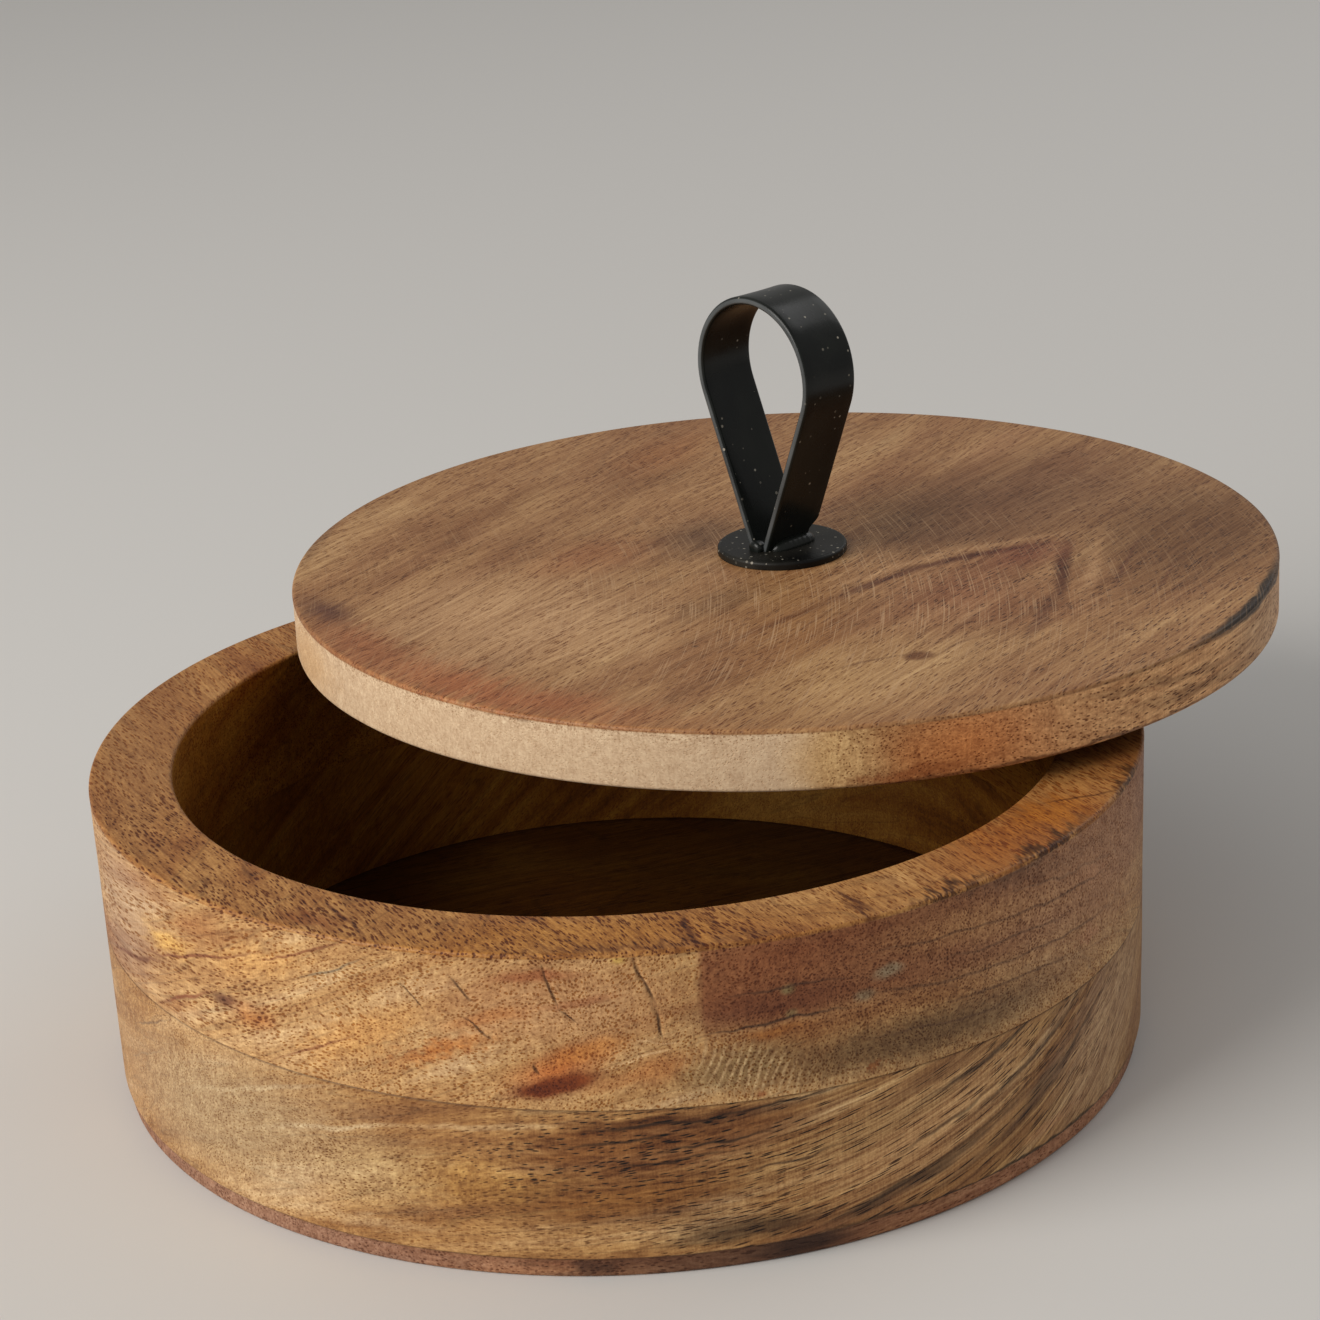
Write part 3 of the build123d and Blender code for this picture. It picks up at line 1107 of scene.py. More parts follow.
    def upper_wood(self) -> OiledHardwood:
        """Wood of the upper ring: golden at the left, pinkish with checks in front, red-brown at right.

        Returns:
            The finish with this board's tones and marks.
        """
        places = [(66 + 17 * (i % 3), 43 + 3.1 * i) for i in range(7)]
        lines = tuple(Mark(place, (30, 0.5), -5, "#5E3C26", 0.6) for place in places)
        wall = (
            # Left and front: golden and orange patches.
            Mark((-118, 66), (24, 4.5), 4, "#9A6338", 0.6),
            Mark((-15, 60), (38, 14), 0, "#BE8C60", 0.6),
            Mark((-132, 55), (28, 24), 0, "#B29278", 0.5),
            Mark((-110, 56.2), (14, 3.4), 8, "#E6B25C", 0.7, edge=1.0),
            Mark((-80, 61), (20, 4.5), 16, "#E0A862", 0.5),
            Mark((-56, 50), (22, 6), 26, "#DCA15C", 0.5),
            Mark((-98, 63.8), (14, 4.5), 8, "#985A2A", 0.6, edge=1.0),
            Mark((-38, 49.5), (18, 3.0), 21, "#C0702A", 0.7, edge=1.0),
            Mark((-28, 56.5), (14, 2.4), 14, "#B8733C", 0.6, steady=True),
            Mark((-82.5, 48.3), (11, 4.4), 0, "#B0682A", 0.65, edge=1.0),
            Mark((-90, 49.7), (7, 2.2), 8, "#5E3020", 0.85, steady=True),
            Mark((-108, 42.5), (12, 2.6), 18, "#A0602C", 0.5),
            Mark((-14.5, 46.5), (17, 5.2), 22, "#BA6224", 0.85, edge=1.0, steady=True),
            Mark((-8, 49.8), (12, 3.0), 14, "#C4803E", 0.6, steady=True),
            Mark((4, 45.5), (9, 4.2), 20, "#B4703A", 0.6, steady=True),
            Mark((-18, 66), (13, 1.8), 3, "#95502A", 0.75, steady=True),
            Mark((-10, 60.4), (12, 1.4), 6, "#A0603A", 0.6, steady=True),
            Mark((-2.2, 69.0), (2.4, 1.3), 0, "#B48E3A", 0.6),
            # Right: a red-brown stretch with olive and pinkish patches.
            Mark((88, 66), (76, 19), 0, "#84492A", 0.8, edge=0.03, form=Form.BLOCK),
            Mark((28, 56.5), (26, 5.6), 0, "#6A341A", 0.75, steady=True),
            Mark((85, 60), (44, 6.0), -7, "#B88452", 0.75),
            Mark((92, 67), (40, 2.8), -6, "#643C26", 0.6),
            Mark((62, 42), (66, 7.5), -1, "#705232", 0.85),
            Mark((20, 44.5), (16, 6.5), 10, "#8E7048", 0.75, steady=True),
            Mark((27.5, 50.6), (12, 2.0), 2, "#965822", 0.75, steady=True),
            Mark((112, 58.5), (9, 2.4), -10, "#C07C54", 0.6),
            Mark((111, 45.5), (7, 2.8), -8, "#BE7C56", 0.65),
            Mark((30.5, 59), (2.4, 1.6), 0, "#84784E", 0.6, steady=True),
            Mark((30.5, 53.7), (2.0, 1.4), 0, "#84784E", 0.5, steady=True),
            Mark((46.7, 54), (3.2, 2.0), 0, "#8C8064", 0.6, steady=True),
            Mark((51.6, 57.7), (4.6, 2.4), 0, "#968A6E", 0.65, steady=True),
            Mark((22, 43), (19, 8), -23, "#D2AE7E", 0.75, form=Form.RIPPLES, steady=True),
            Mark((48.3, 38.2), (1.8, 1.5), 0, "#8C4C1C", 0.8),
            Mark((24, 37.6), (1.6, 1.0), 0, "#984C1A", 0.7),
            Mark((86, 69.6), (18, 1.9), 0, "#4A2E20", 0.7),
            # Thin growth lines, dark and pale.
            Mark((-128, 46.6), (24, 0.8), 14, "#7C4A30", 0.85, bow=0.9),
            Mark((-98, 56.9), (30, 0.6), 17, "#84492A", 0.85, bow=0.2),
            Mark((-68, 65.5), (18, 0.5), 22, "#84492A", 0.8),
            Mark((-105, 45.4), (16, 0.65), 25, "#84492A", 0.9, bow=-0.5),
            Mark((-61, 63), (12, 0.45), 24, "#74634E", 0.8),
            Mark((-66, 45.2), (16, 0.45), 26, "#8A4E2C", 0.75),
            Mark((0.5, 48), (10, 0.4), 16, "#E0B684", 0.75),
            Mark((4, 51.2), (8, 0.3), -8, "#E0B684", 0.6),
            Mark((28, 53), (22, 0.5), 2, "#40281A", 0.8, bow=-3.0),
            Mark((30, 59.6), (18, 0.45), 0, "#4A2C1C", 0.7, bow=-1.6),
            Mark((104, 62.3), (30, 0.55), -9, "#3E281C", 0.8, bow=-1.0),
            # The dark streak over the joint in front, and the paler wood round to the right.
            Mark((-15.4, 42.8), (13.5, 3.0), 16, "#7C3812", 0.97, edge=0.6, steady=True),
            Mark((-17.0, 42.3), (9.0, 1.9), 14, "#602608", 0.9, edge=0.9, steady=True),
            Mark((-4.0, 43.4), (11.0, 2.4), 16, "#B06E38", 0.55, steady=True),
            Mark((116, 56), (64, 26), 0, "#B2825C", 0.7),
            *lines,
        )
        checks = tuple(crack.mark() for crack in self.cracks)
        top = (
            Mark((-104, 5), (16, 90), 3, "#A67A50", 0.7),
            Mark((-10, -106), (50, 12), 0, "#C28C42", 0.6),
            Mark((80, -70), (40, 15), 47, "#A86422", 0.75),
            Mark((88, -60), (14, 8), 50, "#D2903A", 0.5),
            Mark((-62, -91), (12, 5), -36, "#874619", 0.65),
            Mark((11.5, -105.5), (9, 0.8), -79, "#5E2C10", 0.85, bow=0.8),
            Mark((43.5, -96.5), (9.5, 0.8), -59, "#5E2C10", 0.85, bow=0.7),
            Mark((46, -103), (5, 2), -40, "#5E2C10", 0.7),
            Mark((-56, -89), (10, 0.8), -62, "#6A3414", 0.75),
            Mark((95, -53), (13, 0.7), 14, "#54280C", 0.7, bow=1.6),
            Mark((85, -76), (18, 3.2), 48, "#3A1C0A", 0.85),
            Mark((63, -95), (14, 2.6), 34, "#40200C", 0.8),
            Mark((106, -44), (14, 2.6), 66, "#3E200C", 0.8),
            Mark((0, -113), (40, 1.6), 0, "#74441C", 0.6),
            Mark((-52, -96), (9, 0.7), -70, "#5E2C10", 0.7),
        )
        return OiledHardwood(
            name="mango_wood_upper_ring",
            tones=("#986436", "#AE7D4C", "#BC8E5A", "#C69B68", "#CFA97B"),
            grain=-65.0,
            fibre_bend=Bend(0.034, -0.088, 0.0, -0.00027),
            growth_bend=Bend(0.184, 0.005, -0.00064, -0.00137),
            growth_pitch=6.0,
            pore_tone="#C6A87C",
            pore_length=3.4,
            pore_spacing=0.62,
            pore_size=0.42,
            wall_marks=wall + checks,
            top_marks=top,
            pore_marks=(
                Mark((70, 55), (70, 26), 0, "#B09478", 1.0),
                Mark((-90, 50), (30, 14), 10, "#A88458", 0.9),
                Mark((-60, 71), (110, 3), 0, "#96703E", 1.0, edge=0.3, form=Form.BLOCK),
            ),
            # Darker rim top: painted shade.
            top_shade_tone="#E6D2B4",
        )

    def lower_wood(self) -> OiledHardwood:
        """Wood of the lower ring: tan with pale arcs at the left, dark pores and streaks at the right.

        Returns:
            The finish with this board's tones and marks.
        """
        wall = (
            # Left: tan patches and pale arcs.
            Mark((-120, 22), (44, 18), 10, "#B28C64", 0.6),
            Mark((-54, 20), (24, 12), 8, "#BC9C6C", 0.5),
            Mark((-30, 21), (24, 8), 3, "#BA8844", 0.5),
            Mark((-88, 30.3), (34, 0.9), 18, "#DEC39A", 0.6, bow=-0.8),
            Mark((-70, 26.8), (28, 0.9), 14, "#DEC39A", 0.6, bow=-1.2),
            Mark((-30, 33.0), (24, 1.1), 5, "#D4B080", 0.5),
            Mark((-68, 25.2), (26, 0.4), 13, "#8A6642", 0.6, bow=-1.2),
            Mark((-122, 33.2), (15, 0.5), 22, "#7B5E44", 0.75),
            Mark((-128, 24), (18, 0.4), 24, "#97795A", 0.6),
            Mark((-94, 22), (52, 22), 10, "#B29670", 0.75),
            # Front and right: dark and pale bands.
            Mark((4, 29.5), (44, 9), 4, "#7A4820", 0.9, edge=0.6),
            Mark((-2, 18), (40, 10), 3, "#6C3C18", 0.8),
            Mark((60, 22), (40, 17), 12, "#C89866", 0.85),
            Mark((12, 34.2), (34, 2.0), 1, "#5C3416", 0.7),
            Mark((0, 18), (30, 5), 6, "#96632F", 0.5),
            Mark((42, 24), (32, 7.5), 12, "#B48A58", 0.7),
            Mark((-70, 8), (36, 2.6), 3, "#D4B080", 0.55),
            Mark((-26, 14), (26, 0.5), 8, "#8A6338", 0.6),
            # Long dark pores, and the streaks that rise to the right.
            Mark((3, 33.4), (20, 0.55), 3, "#2E1C10", 0.85),
            Mark((-4, 30.4), (16, 0.5), 4, "#2E1C10", 0.8),
            Mark((15, 28.6), (18, 0.55), 5, "#2E1C10", 0.85),
            Mark((6, 25.6), (18, 0.5), 4, "#2E1C10", 0.75),
            Mark((28, 35), (20, 0.5), 5, "#2E1C10", 0.8),
            Mark((30, 22), (16, 0.5), 7, "#3E281A", 0.7),
            Mark((20, 8.4), (24, 3.6), 2, "#46301E", 0.8, steady=True),
            Mark((53, 9.6), (18, 2.4), 14, "#2C1C12", 0.8),
            Mark((62, 32), (20, 2.2), 14, "#7E522E", 0.6),
            Mark((76, 31.5), (26, 1.2), 15, "#3E2818", 0.8, bow=0.6),
            Mark((71, 15), (27, 2.0), 18, "#4C3018", 0.65, bow=1.0),
            Mark((94, 18), (26, 2.8), 26, "#4E3624", 0.55, bow=0.8),
            Mark((99, 31), (18, 2.0), 21, "#BC946A", 0.6),
            Mark((80, 22), (24, 2.0), 20, "#B88E60", 0.65, bow=0.8),
            Mark((60, 26), (20, 1.6), 14, "#C09663", 0.6),
            Mark((98, 8.4), (20, 2.0), 4, "#B47C50", 0.6),
            Mark((122, 20), (40, 22), 30, "#B6906A", 0.8),
            # A dark line along the ring's foot, over the base board: painted shadow in the gap between them.
            Mark((84, 4.7), (84, 0.7), 0, "#38220F", 0.9),
            Mark((88, 26), (24, 1.0), 20, "#45301E", 0.7, bow=0.6),
            Mark((66, 21), (20, 0.8), 16, "#45301E", 0.65, bow=0.6),
            Mark((108, 25), (20, 0.8), 27, "#4E3826", 0.6, bow=0.6),
        )
        bend = Bend(0.486, 0.231, 0.00339, -0.00053)
        return OiledHardwood(
            name="mango_wood_lower_ring",
            tones=("#7C5030", "#9C6D3E", "#B28450", "#C19766", "#CEAA7E"),
            grain=-150.0,
            follow=0.45,
            fibre_bend=bend,
            growth_bend=bend,
            growth_pitch=5.0,
            band_detail=6.0,
            pore_tone="#D0BCA0",
            pore_length=5.0,
            pore_spacing=0.52,
            pore_size=0.37,
            wall_marks=wall,
            pore_marks=(
                Mark((54, 22), (110, 40), 4, "#5E4C42", 1.0, edge=0.7),
                Mark((-60, 20), (26, 12), 6, "#A8885C", 0.8),
                Mark((4, 29), (50, 13), 4, "#3A2C20", 1.0, edge=0.5),
            ),
        )

    def base_wood(self) -> OiledHardwood:
        """Wood of the base board: plain reddish brown.

        Returns:
            The finish with this board's tones and marks.
        """
        return OiledHardwood(
            name="mango_wood_base",
            tones=("#744A30", "#925F40", "#A2704C", "#AE805C"),
            grain=20.0,
            growth_bend=Bend(0.05, 0.1, 0.0, 0.0),
            growth_pitch=3.0,
            pore_tone="#B8A292",
            pore_length=5.0,
            wall_marks=(
                Mark((-84, 2), (80, 6), 0, "#9A745E", 0.7),
                # Darker in front: partly the wood's own tone, partly painted shade at the foot, under the
                # ring.
                Mark((16, 2.2), (46, 7), 0, "#5C3A28", 0.85),
                Mark((-10, 2.4), (9, 3), 0, "#4A2E20", 0.8),
                Mark((32, 2.6), (16, 5), 0, "#382218", 0.85),
                Mark((100, 2), (56, 6), 0, "#B07A58", 0.8),
            ),
            # Darker floor and underside: a darker finish with painted shade inside the box.
            inside_tone_and_shade="#8E8044",
        )

    def build(self) -> list[bpy.types.Object]:
        """Builds the three boards and dresses them.

        Returns:
            The finished pieces.
        """
        upper = self.ring_skin(self.upper_section(), self.crack_angles(), True)
        lower = self.ring_skin(self.lower_section(), even_angles(480), False)
        return [
            make_piece("ring_upper_turned", upper, self.upper_wood().dress(), "upper_ring", "box"),
            make_piece("ring_lower_turned", lower, self.lower_wood().dress(), "lower_ring", "box"),
            make_piece("board_base_turned", self.base_skin(), self.base_wood().dress(), "base_board", "box"),
        ]


@dataclass
class Lid:
    """The lid's board, turned in one piece with the step under it. Sizes are in millimetres."""

    radius: float = 115.0
    thickness: float = 13.9
    step: float = 4.8
    step_radius: float = 96.0
    low: float = 70.6
    edge_round: float = 0.8
    step_round: float = 0.5
    hole_radius: float = 2.25
    counterbore_radius: float = 6.5
    counterbore_ceiling: float = 75.8
    under_flange: float = 30.0  # Radius of the part of the top that is left flat for the flange.

    def skin(self) -> Skin:
        """Turns the lid, up its edge, in over its top, down the hole and out under it.

        Returns:
            The lid's surface.
        """
        under, high, small = self.low + self.step, self.low + self.step + self.thickness, self.edge_round
        section = Section((self.radius - small, under))
        section.rounding(small, -90, 6, Face.WALL)
        section.run((self.radius, high - small), 16, Face.WALL)
        section.rounding(small, 0, 6, Face.TOP)
        section.run((self.hole_radius, high), 36, Face.TOP)
        section.run((self.hole_radius, self.counterbore_ceiling), 4, Face.INNER)
        section.run((self.counterbore_radius, self.counterbore_ceiling), 3, Face.INNER)
        section.run((self.counterbore_radius, self.low), 4, Face.INNER)
        section.run((self.step_radius - self.step_round, self.low), 24, Face.INNER)
        section.rounding(self.step_round, -90, 4, Face.INNER)
        section.run((self.step_radius, under), 4, Face.INNER)
        section.run((self.radius - small, under), 8, Face.INNER)
        angles = even_angles(480)
        sink = hand_sanding(angles, section.height) * section.on(Face.WALL)
        dip = hand_sanding(angles, section.radius)
        dip = dip * (section.on(Face.TOP) & (section.radius > self.under_flange))
        return section.turned(angles, sink=sink, lift=-dip).moved(LID_CENTRE)

    def wood(self) -> OiledHardwood:
        """Wood of the lid: brown with a pointed figure on top, and pale sapwood at the left of its edge.

        Returns:
            The finish with this board's tones and marks.
        """
        edge = (
            Mark((-97, 82), (100, 30), 0, "#DFC19E", 0.94, edge=0.07, form=Form.BLOCK),
            Mark((112, 82), (106, 30), 0, "#E0A872", 0.9, edge=0.42, form=Form.BLOCK),
            Mark((-204, 82), (40, 24), 0, "#B88C5E", 0.95, edge=0.9),
            Mark((4, 82), (15, 16), 0, "#DEB47C", 0.85, steady=True),
            Mark((31, 82), (28, 16), 0, "#D2864C", 0.9, edge=1.0, steady=True),
            Mark((132, 82), (34, 16), 0, "#A8825E", 0.6),
            Mark((20, 77.5), (22, 2.4), 2, "#98542A", 0.7),
            Mark((-150, 82), (30, 12), 0, "#D8AC78", 0.6),
            Mark((96, 79), (40, 2), -4, "#8E633C", 0.6),
            Mark((84, 84), (46, 1.6), -6, "#8E633C", 0.6),
            Mark((-66, 88.4), (10, 1.0), 0, "#8C6A50", 0.7),
            Mark((134, 88.2), (52, 1.2), 0, "#22160E", 0.95),
            # A dark line along the bottom of the edge: painted shadow at the lid's lower edge.
            Mark((60, 76.0), (90, 0.7), 0, "#5A3018", 0.7),
        )
        top = (
            # Paler and darker wood, in broad patches.
            Mark((-62, -40), (44, 50), 52, "#C69A6E", 0.75),
            Mark((-50, 38), (40, 20), 52, "#AC8054", 0.4),
            Mark((62, 78), (38, 8), 50, "#B4845A", 0.5),
            Mark((16, -84), (52, 24), 30, "#C49A68", 0.65),
            Mark((-45, 3), (26, 16), 40, "#A8683E", 0.4, edge=1.0),
            Mark((-71, -81), (70, 15), -42, "#A86238", 0.85, bow=16, edge=1.0),
            Mark((-98, -46), (28, 12), -60, "#985A34", 0.75, edge=1.0),
            Mark((-106, -25), (18, 9), -66, "#5E3626", 0.9, edge=1.0),
            Mark((-18, 14), (24, 17), 60, "#5E3E26", 0.75, edge=1.0, steady=True),
            Mark((34, 20), (46, 34), 45, "#5E3C1C", 0.9, edge=1.0, steady=True),
            Mark((40, 2), (40, 14), 14, "#7A5030", 0.6, edge=1.0),
            Mark((66, 34), (60, 34), 52, "#7C5030", 0.75),
            Mark((96, -4), (62, 36), 66, "#704824", 0.85),
            Mark((-70, 44), (50, 10), 54, "#84552E", 0.5),
            Mark((-30, 60), (60, 7), 56, "#84552E", 0.45),
            Mark((20, 86), (40, 9), 56, "#8A5C34", 0.45),
            Mark((-24, 84), (28, 14), 60, "#A86C3C", 0.4),
            Mark((-16, -34), (22, 8), 46, "#74502E", 0.5),
            Mark((40, -38), (40, 30), 60, "#8A5434", 0.75, edge=1.0, steady=True),
            # The pointed figure: dark arms, with pale ones beside them.
            Mark((46, -11), (31, 2.9), 18, "#5C2E10", 1.0, bow=-3.0, steady=True),
            Mark((22, -25), (28, 2.4), 38, "#62341A", 0.9, bow=-1.6, steady=True),
            Mark((0, -46), (26, 2.4), 42, "#6E4226", 0.8, edge=1.0, steady=True),
            Mark((62.5, -24), (31, 2.7), 80, "#5C2E10", 1.0, bow=-1.6, steady=True),
            Mark((54, -54), (28, 2.6), 70, "#6E4226", 0.85, edge=1.0, steady=True),
            Mark((56, -13), (20, 12), 30, "#7C4228", 0.8, edge=1.0, steady=True),
            Mark((50, -4.5), (34, 2.6), 18, "#BC8E62", 0.6, bow=-3.0, edge=1.0, steady=True),
            Mark((69.5, -24), (38, 3.0), 78, "#BC8E62", 0.6, edge=1.0, steady=True),
            Mark((24, -18), (34, 2.4), 38, "#BE9064", 0.65, edge=1.0, steady=True),
            Mark((36, -56), (30, 2.4), 56, "#BE9064", 0.5, edge=1.0, steady=True),
            Mark((77, -24), (30, 0.9), 72, "#6A3C22", 0.6),
            Mark((84, -36), (26, 0.8), 68, "#6A3C22", 0.5),
            Mark((36, -58), (20, 0.8), 58, "#6A3C22", 0.45),
            # A small knot with the lines round it, and dark streaks near the edge.
            Mark((24, -76), (4.8, 3.4), 0, "#6C3E1C", 0.9, edge=0.6, steady=True),
            Mark((13, -78), (12, 0.9), 26, "#6E4426", 0.6, bow=-1.5),
            Mark((34, -70), (14, 0.8), 44, "#6E4426", 0.5, bow=-1.5),
            Mark((-23, -62), (1.3, 1.0), 0, "#50301C", 0.7),
            Mark((101, -54), (38, 2.2), 62, "#1C120B", 0.95, bow=6.2, edge=0.6, steady=True),
            Mark((-110, 30), (26, 2.0), 76, "#6A4830", 0.5, bow=-3.0, steady=True),
        )
        return OiledHardwood(
            name="mango_wood_lid",
            tones=("#8C5E38", "#986942", "#A2744A", "#AC7F53", "#B68B5D"),
            contrast=0.85,
            grain=54.0,
            centre=LID_CENTRE,
            fibre_bend=Bend(0.02, 0.03, 0.0, 0.0),
            growth_bend=Bend(-0.283, 0.206, 0.0, 0.0006),
            growth_pitch=4.0,
            band_detail=5.0,
            line_cover=0.12,
            pore_tone="#B49A84",
            pore_length=4.0,
            pore_spacing=0.62,
            pore_size=0.34,
            wall_marks=edge,
            top_marks=top,
            pore_marks=(
                Mark((110, 82), (100, 60), 0, "#8A705A", 1.0),
                Mark((-97, 80), (102, 9.5), 0, "#F6F0E8", 1.0, edge=0.07, form=Form.BLOCK),
            ),
            scratches=0.6,
            # Darker underside: a darker finish with painted shade under the lid.
            inside_tone_and_shade="#86643C",
        )

    def build(self) -> list[bpy.types.Object]:
        """Builds and dresses the lid's board."""
        return [make_piece("lid_turned", self.skin(), self.wood().dress(), "lid_board", "lid")]


@dataclass
class LoopHandle:
    """Handle of the lid: a bent steel strip, welded to a round flange. Sizes are in millimetres."""

    lid_top: float = 89.3
    flange_radius: float = 15.2
    flange_thickness: float = 2.0
    flange_round: float = 0.8
    flange_arris: float = 0.25
    thread_hole: float = 2.1
    strip_width: float = 15.5
    strip_thickness: float = 1.9
    strip_round: float = 0.82
    strip_hollow: float = 0.1  # How far the wide faces dip in their middle.
    strip_sunk: float = 0.3  # How far the feet reach into the flange.
    loop_radius: float = 17.5
    loop_centre: float = 42.0
    foot_spread: float = 3.8
    bearing: float = 40.0
    notch_depth: float = 2.1
    notch_height: float = 3.4
    ripple_length: float = 1.5
    bead_half: Point = (1.65, 1.65)  # Half the width and height of the bead between the feet.
    bead_height: float = 0.35
    drop_half: Place = (2.0, 1.7, 1.6)
    drop_height: float = 0.6
    fillet_half: Place = (2.6, 2.4, 6.6)
    fillet_out: float = 1.3
    fillet_back: float = 0.3

    def placed(self, across: np.ndarray, up: np.ndarray, depth: np.ndarray) -> np.ndarray:
        """Points in the loop's own plane, put where the handle stands on the lid.

        Args:
            across: distance to the loop's right, seen from the front.
            up: height over the flange.
            depth: distance to the back, along the way one looks through the loop.

        Returns:
            The points in metres.
        """
        bearing = math.radians(self.bearing)
        x = across * math.sin(bearing) + depth * math.cos(bearing) + LID_CENTRE[0]
        y = -across * math.cos(bearing) + depth * math.sin(bearing) + LID_CENTRE[1]
        z = up + self.lid_top + self.flange_thickness
        return np.stack(np.broadcast_arrays(x, y, z), -1) * MM

    def middle_line(self) -> tuple[np.ndarray, np.ndarray, np.ndarray]:
        """The strip's middle line: up one leg, round the top and down the other.

        Each straight leg is tangent to the round top, so the arc starts at the angle by which the leg leans.

        Returns:
            Distance across, height, and the angle of the outward direction, at each step.
        """
        foot = self.foot_spread / 2
        reach = math.hypot(foot, self.loop_centre)
        lean = math.acos(self.loop_radius / reach) - math.atan2(self.loop_centre, foot)
        turn = np.linspace(lean, math.pi - lean, 72, endpoint=False)[1:]
        top = (self.loop_radius * math.cos(lean), self.loop_centre + self.loop_radius * math.sin(lean))
        leg_x = np.linspace(foot + self.strip_sunk * math.tan(lean), top[0], 41)
        leg_y = np.linspace(-self.strip_sunk, top[1], 41)
        across = np.concatenate([leg_x, self.loop_radius * np.cos(turn), -leg_x[::-1]])
        up = np.concatenate([leg_y, self.loop_centre + self.loop_radius * np.sin(turn), leg_y[::-1]])
        outward = np.concatenate([np.full(41, lean), turn, np.full(41, math.pi - lean)])
        return across, up, outward

    def strip_skin(self) -> Skin:
        """Carries a rounded rectangle along the middle line.

        The rectangle's point at angle t round a corner lies at the corner's centre plus the corner's radius
        times (cos t, sin t). Near the feet its rear edge is drawn in, with a shoulder at 45 degrees. The
        front edge is marked for a paler tone, painted as a highlight.

        Returns:
            The strip's surface, closed by a fan at each foot.
        """
        across, up, outward = [line[None, :] for line in self.middle_line()]
        small, face = self.strip_round, self.strip_thickness / 2
        wide, thin = self.strip_width / 2 - small, face - small
        flat = np.linspace(wide, -wide, 7)[1:-1]
        depths, outs = [], []
        for depth_sign, out_sign, start in ((1, 1, 0), (-1, 1, 90), (-1, -1, 180), (1, -1, 270)):
            turn = np.radians(np.linspace(start, start + 90, 6))
            depths.append(depth_sign * wide + small * np.cos(turn))
            outs.append(out_sign * thin + small * np.sin(turn))
        level = np.full(len(flat), face)
        depth = np.concatenate([depths[0], flat, depths[1], depths[2], -flat, depths[3]])[::-1, None]
        out = np.concatenate([outs[0], level, outs[1], outs[2], -level, outs[3]])[::-1, None]
        shoulder = (self.notch_height + self.notch_depth - up) / self.notch_depth
        drawn = self.notch_depth * np.clip(shoulder, 0, 1)
        on_flat = np.abs(out) > face - 0.01
        dip = self.strip_hollow * (1 - (depth / wide) ** 2).clip(0, 1) * np.sign(out) * on_flat
        x = across + (out - dip) * np.cos(outward)
        z = up + (out - dip) * np.sin(outward)
        points = self.placed(x, z, depth - drawn * np.clip(depth / wide, 0, 1))
        # Points on the front edge are marked for the painted highlight.
        highlight_band = np.where(depth < 0.1 * small - self.strip_width / 2, Face.EDGE.value, Face.WALL.value)
        poles = points[:, [0, -1]].mean(axis=0)
        return wrapped(points, np.broadcast_to(highlight_band, x.shape), poles)

    def flange_skin(self) -> Skin:
        """Turns the flange, with its top edge rounded and its lower edge eased.

        Returns:
            The flange's surface.
        """
        low, high, small = self.lid_top, self.lid_top + self.flange_thickness, self.flange_round
        section = Section((self.flange_radius - self.flange_arris, low))
        section.rounding(self.flange_arris, -90, 4, Face.WALL)
        section.run((self.flange_radius, high - small), 4, Face.WALL)
        section.rounding(small, 0, 8, Face.WALL)
        section.run((self.thread_hole, high), 14, Face.WALL)
        section.run((self.thread_hole, low), 4, Face.WALL)
        section.run((self.flange_radius - self.flange_arris, low), 8, Face.WALL)
        return section.turned(even_angles(144)).moved(LID_CENTRE)

    def bead_skin(self, middle: Place, half: Place, ripple: float) -> Skin:
        """One bead of weld: a long lens whose section swells and shrinks with each ripple of the torch.

        At share u of its length, from -1 to 1, its section is an ellipse of size (1 - u^4)^(1/2), times one
        plus a small sine wave. Its two ends close in a point.

        Args:
            middle: its middle across, up and deep.
            half: half its width, height and length.
            ripple: size of the wave, as a share.

        Returns:
            The bead's surface.
        """
        share = np.sin(np.linspace(-math.pi / 2, math.pi / 2, 41))[1:-1]
        # The loop's axes are left-handed, so going round backwards makes the faces point outwards.
        turn = -even_angles(24)[:, None]
        wave = np.sin(share * half[2] * 2 * math.pi / self.ripple_length)
        swell = np.sqrt(1 - share ** 4) * (1 + ripple * wave)
        across = middle[0] + half[0] * swell * np.cos(turn)
        up = middle[1] + half[1] * swell * np.sin(turn)
        points = self.placed(across, up, middle[2] + half[2] * share)
        ends = middle[2] + half[2] * np.array([-1.0, 1.0])
        poles = self.placed(np.array(middle[0]), np.array(middle[1]), ends)
        return wrapped(points, np.zeros(across.shape), poles)

    def weld_skin(self) -> Skin:
        """Four beads: between the feet, its drop at the front, and a fillet outside each foot.

        Returns:
            The weld's surface.
        """
        front, rear = -self.strip_width / 2, self.strip_width / 2 - self.notch_depth
        middle = (0, self.bead_height, (front + rear) / 2)
        weld = self.bead_skin(middle, (*self.bead_half, (rear - front) / 2), 0.05)
        weld = weld.joined(self.bead_skin((0, self.drop_height, front - 0.1), self.drop_half, 0.0))
        foot = self.foot_spread / 2 + self.fillet_out
        for out in (-foot, foot):
            weld = weld.joined(self.bead_skin((out, 0.0, self.fillet_back), self.fillet_half, 0.03))
        return weld

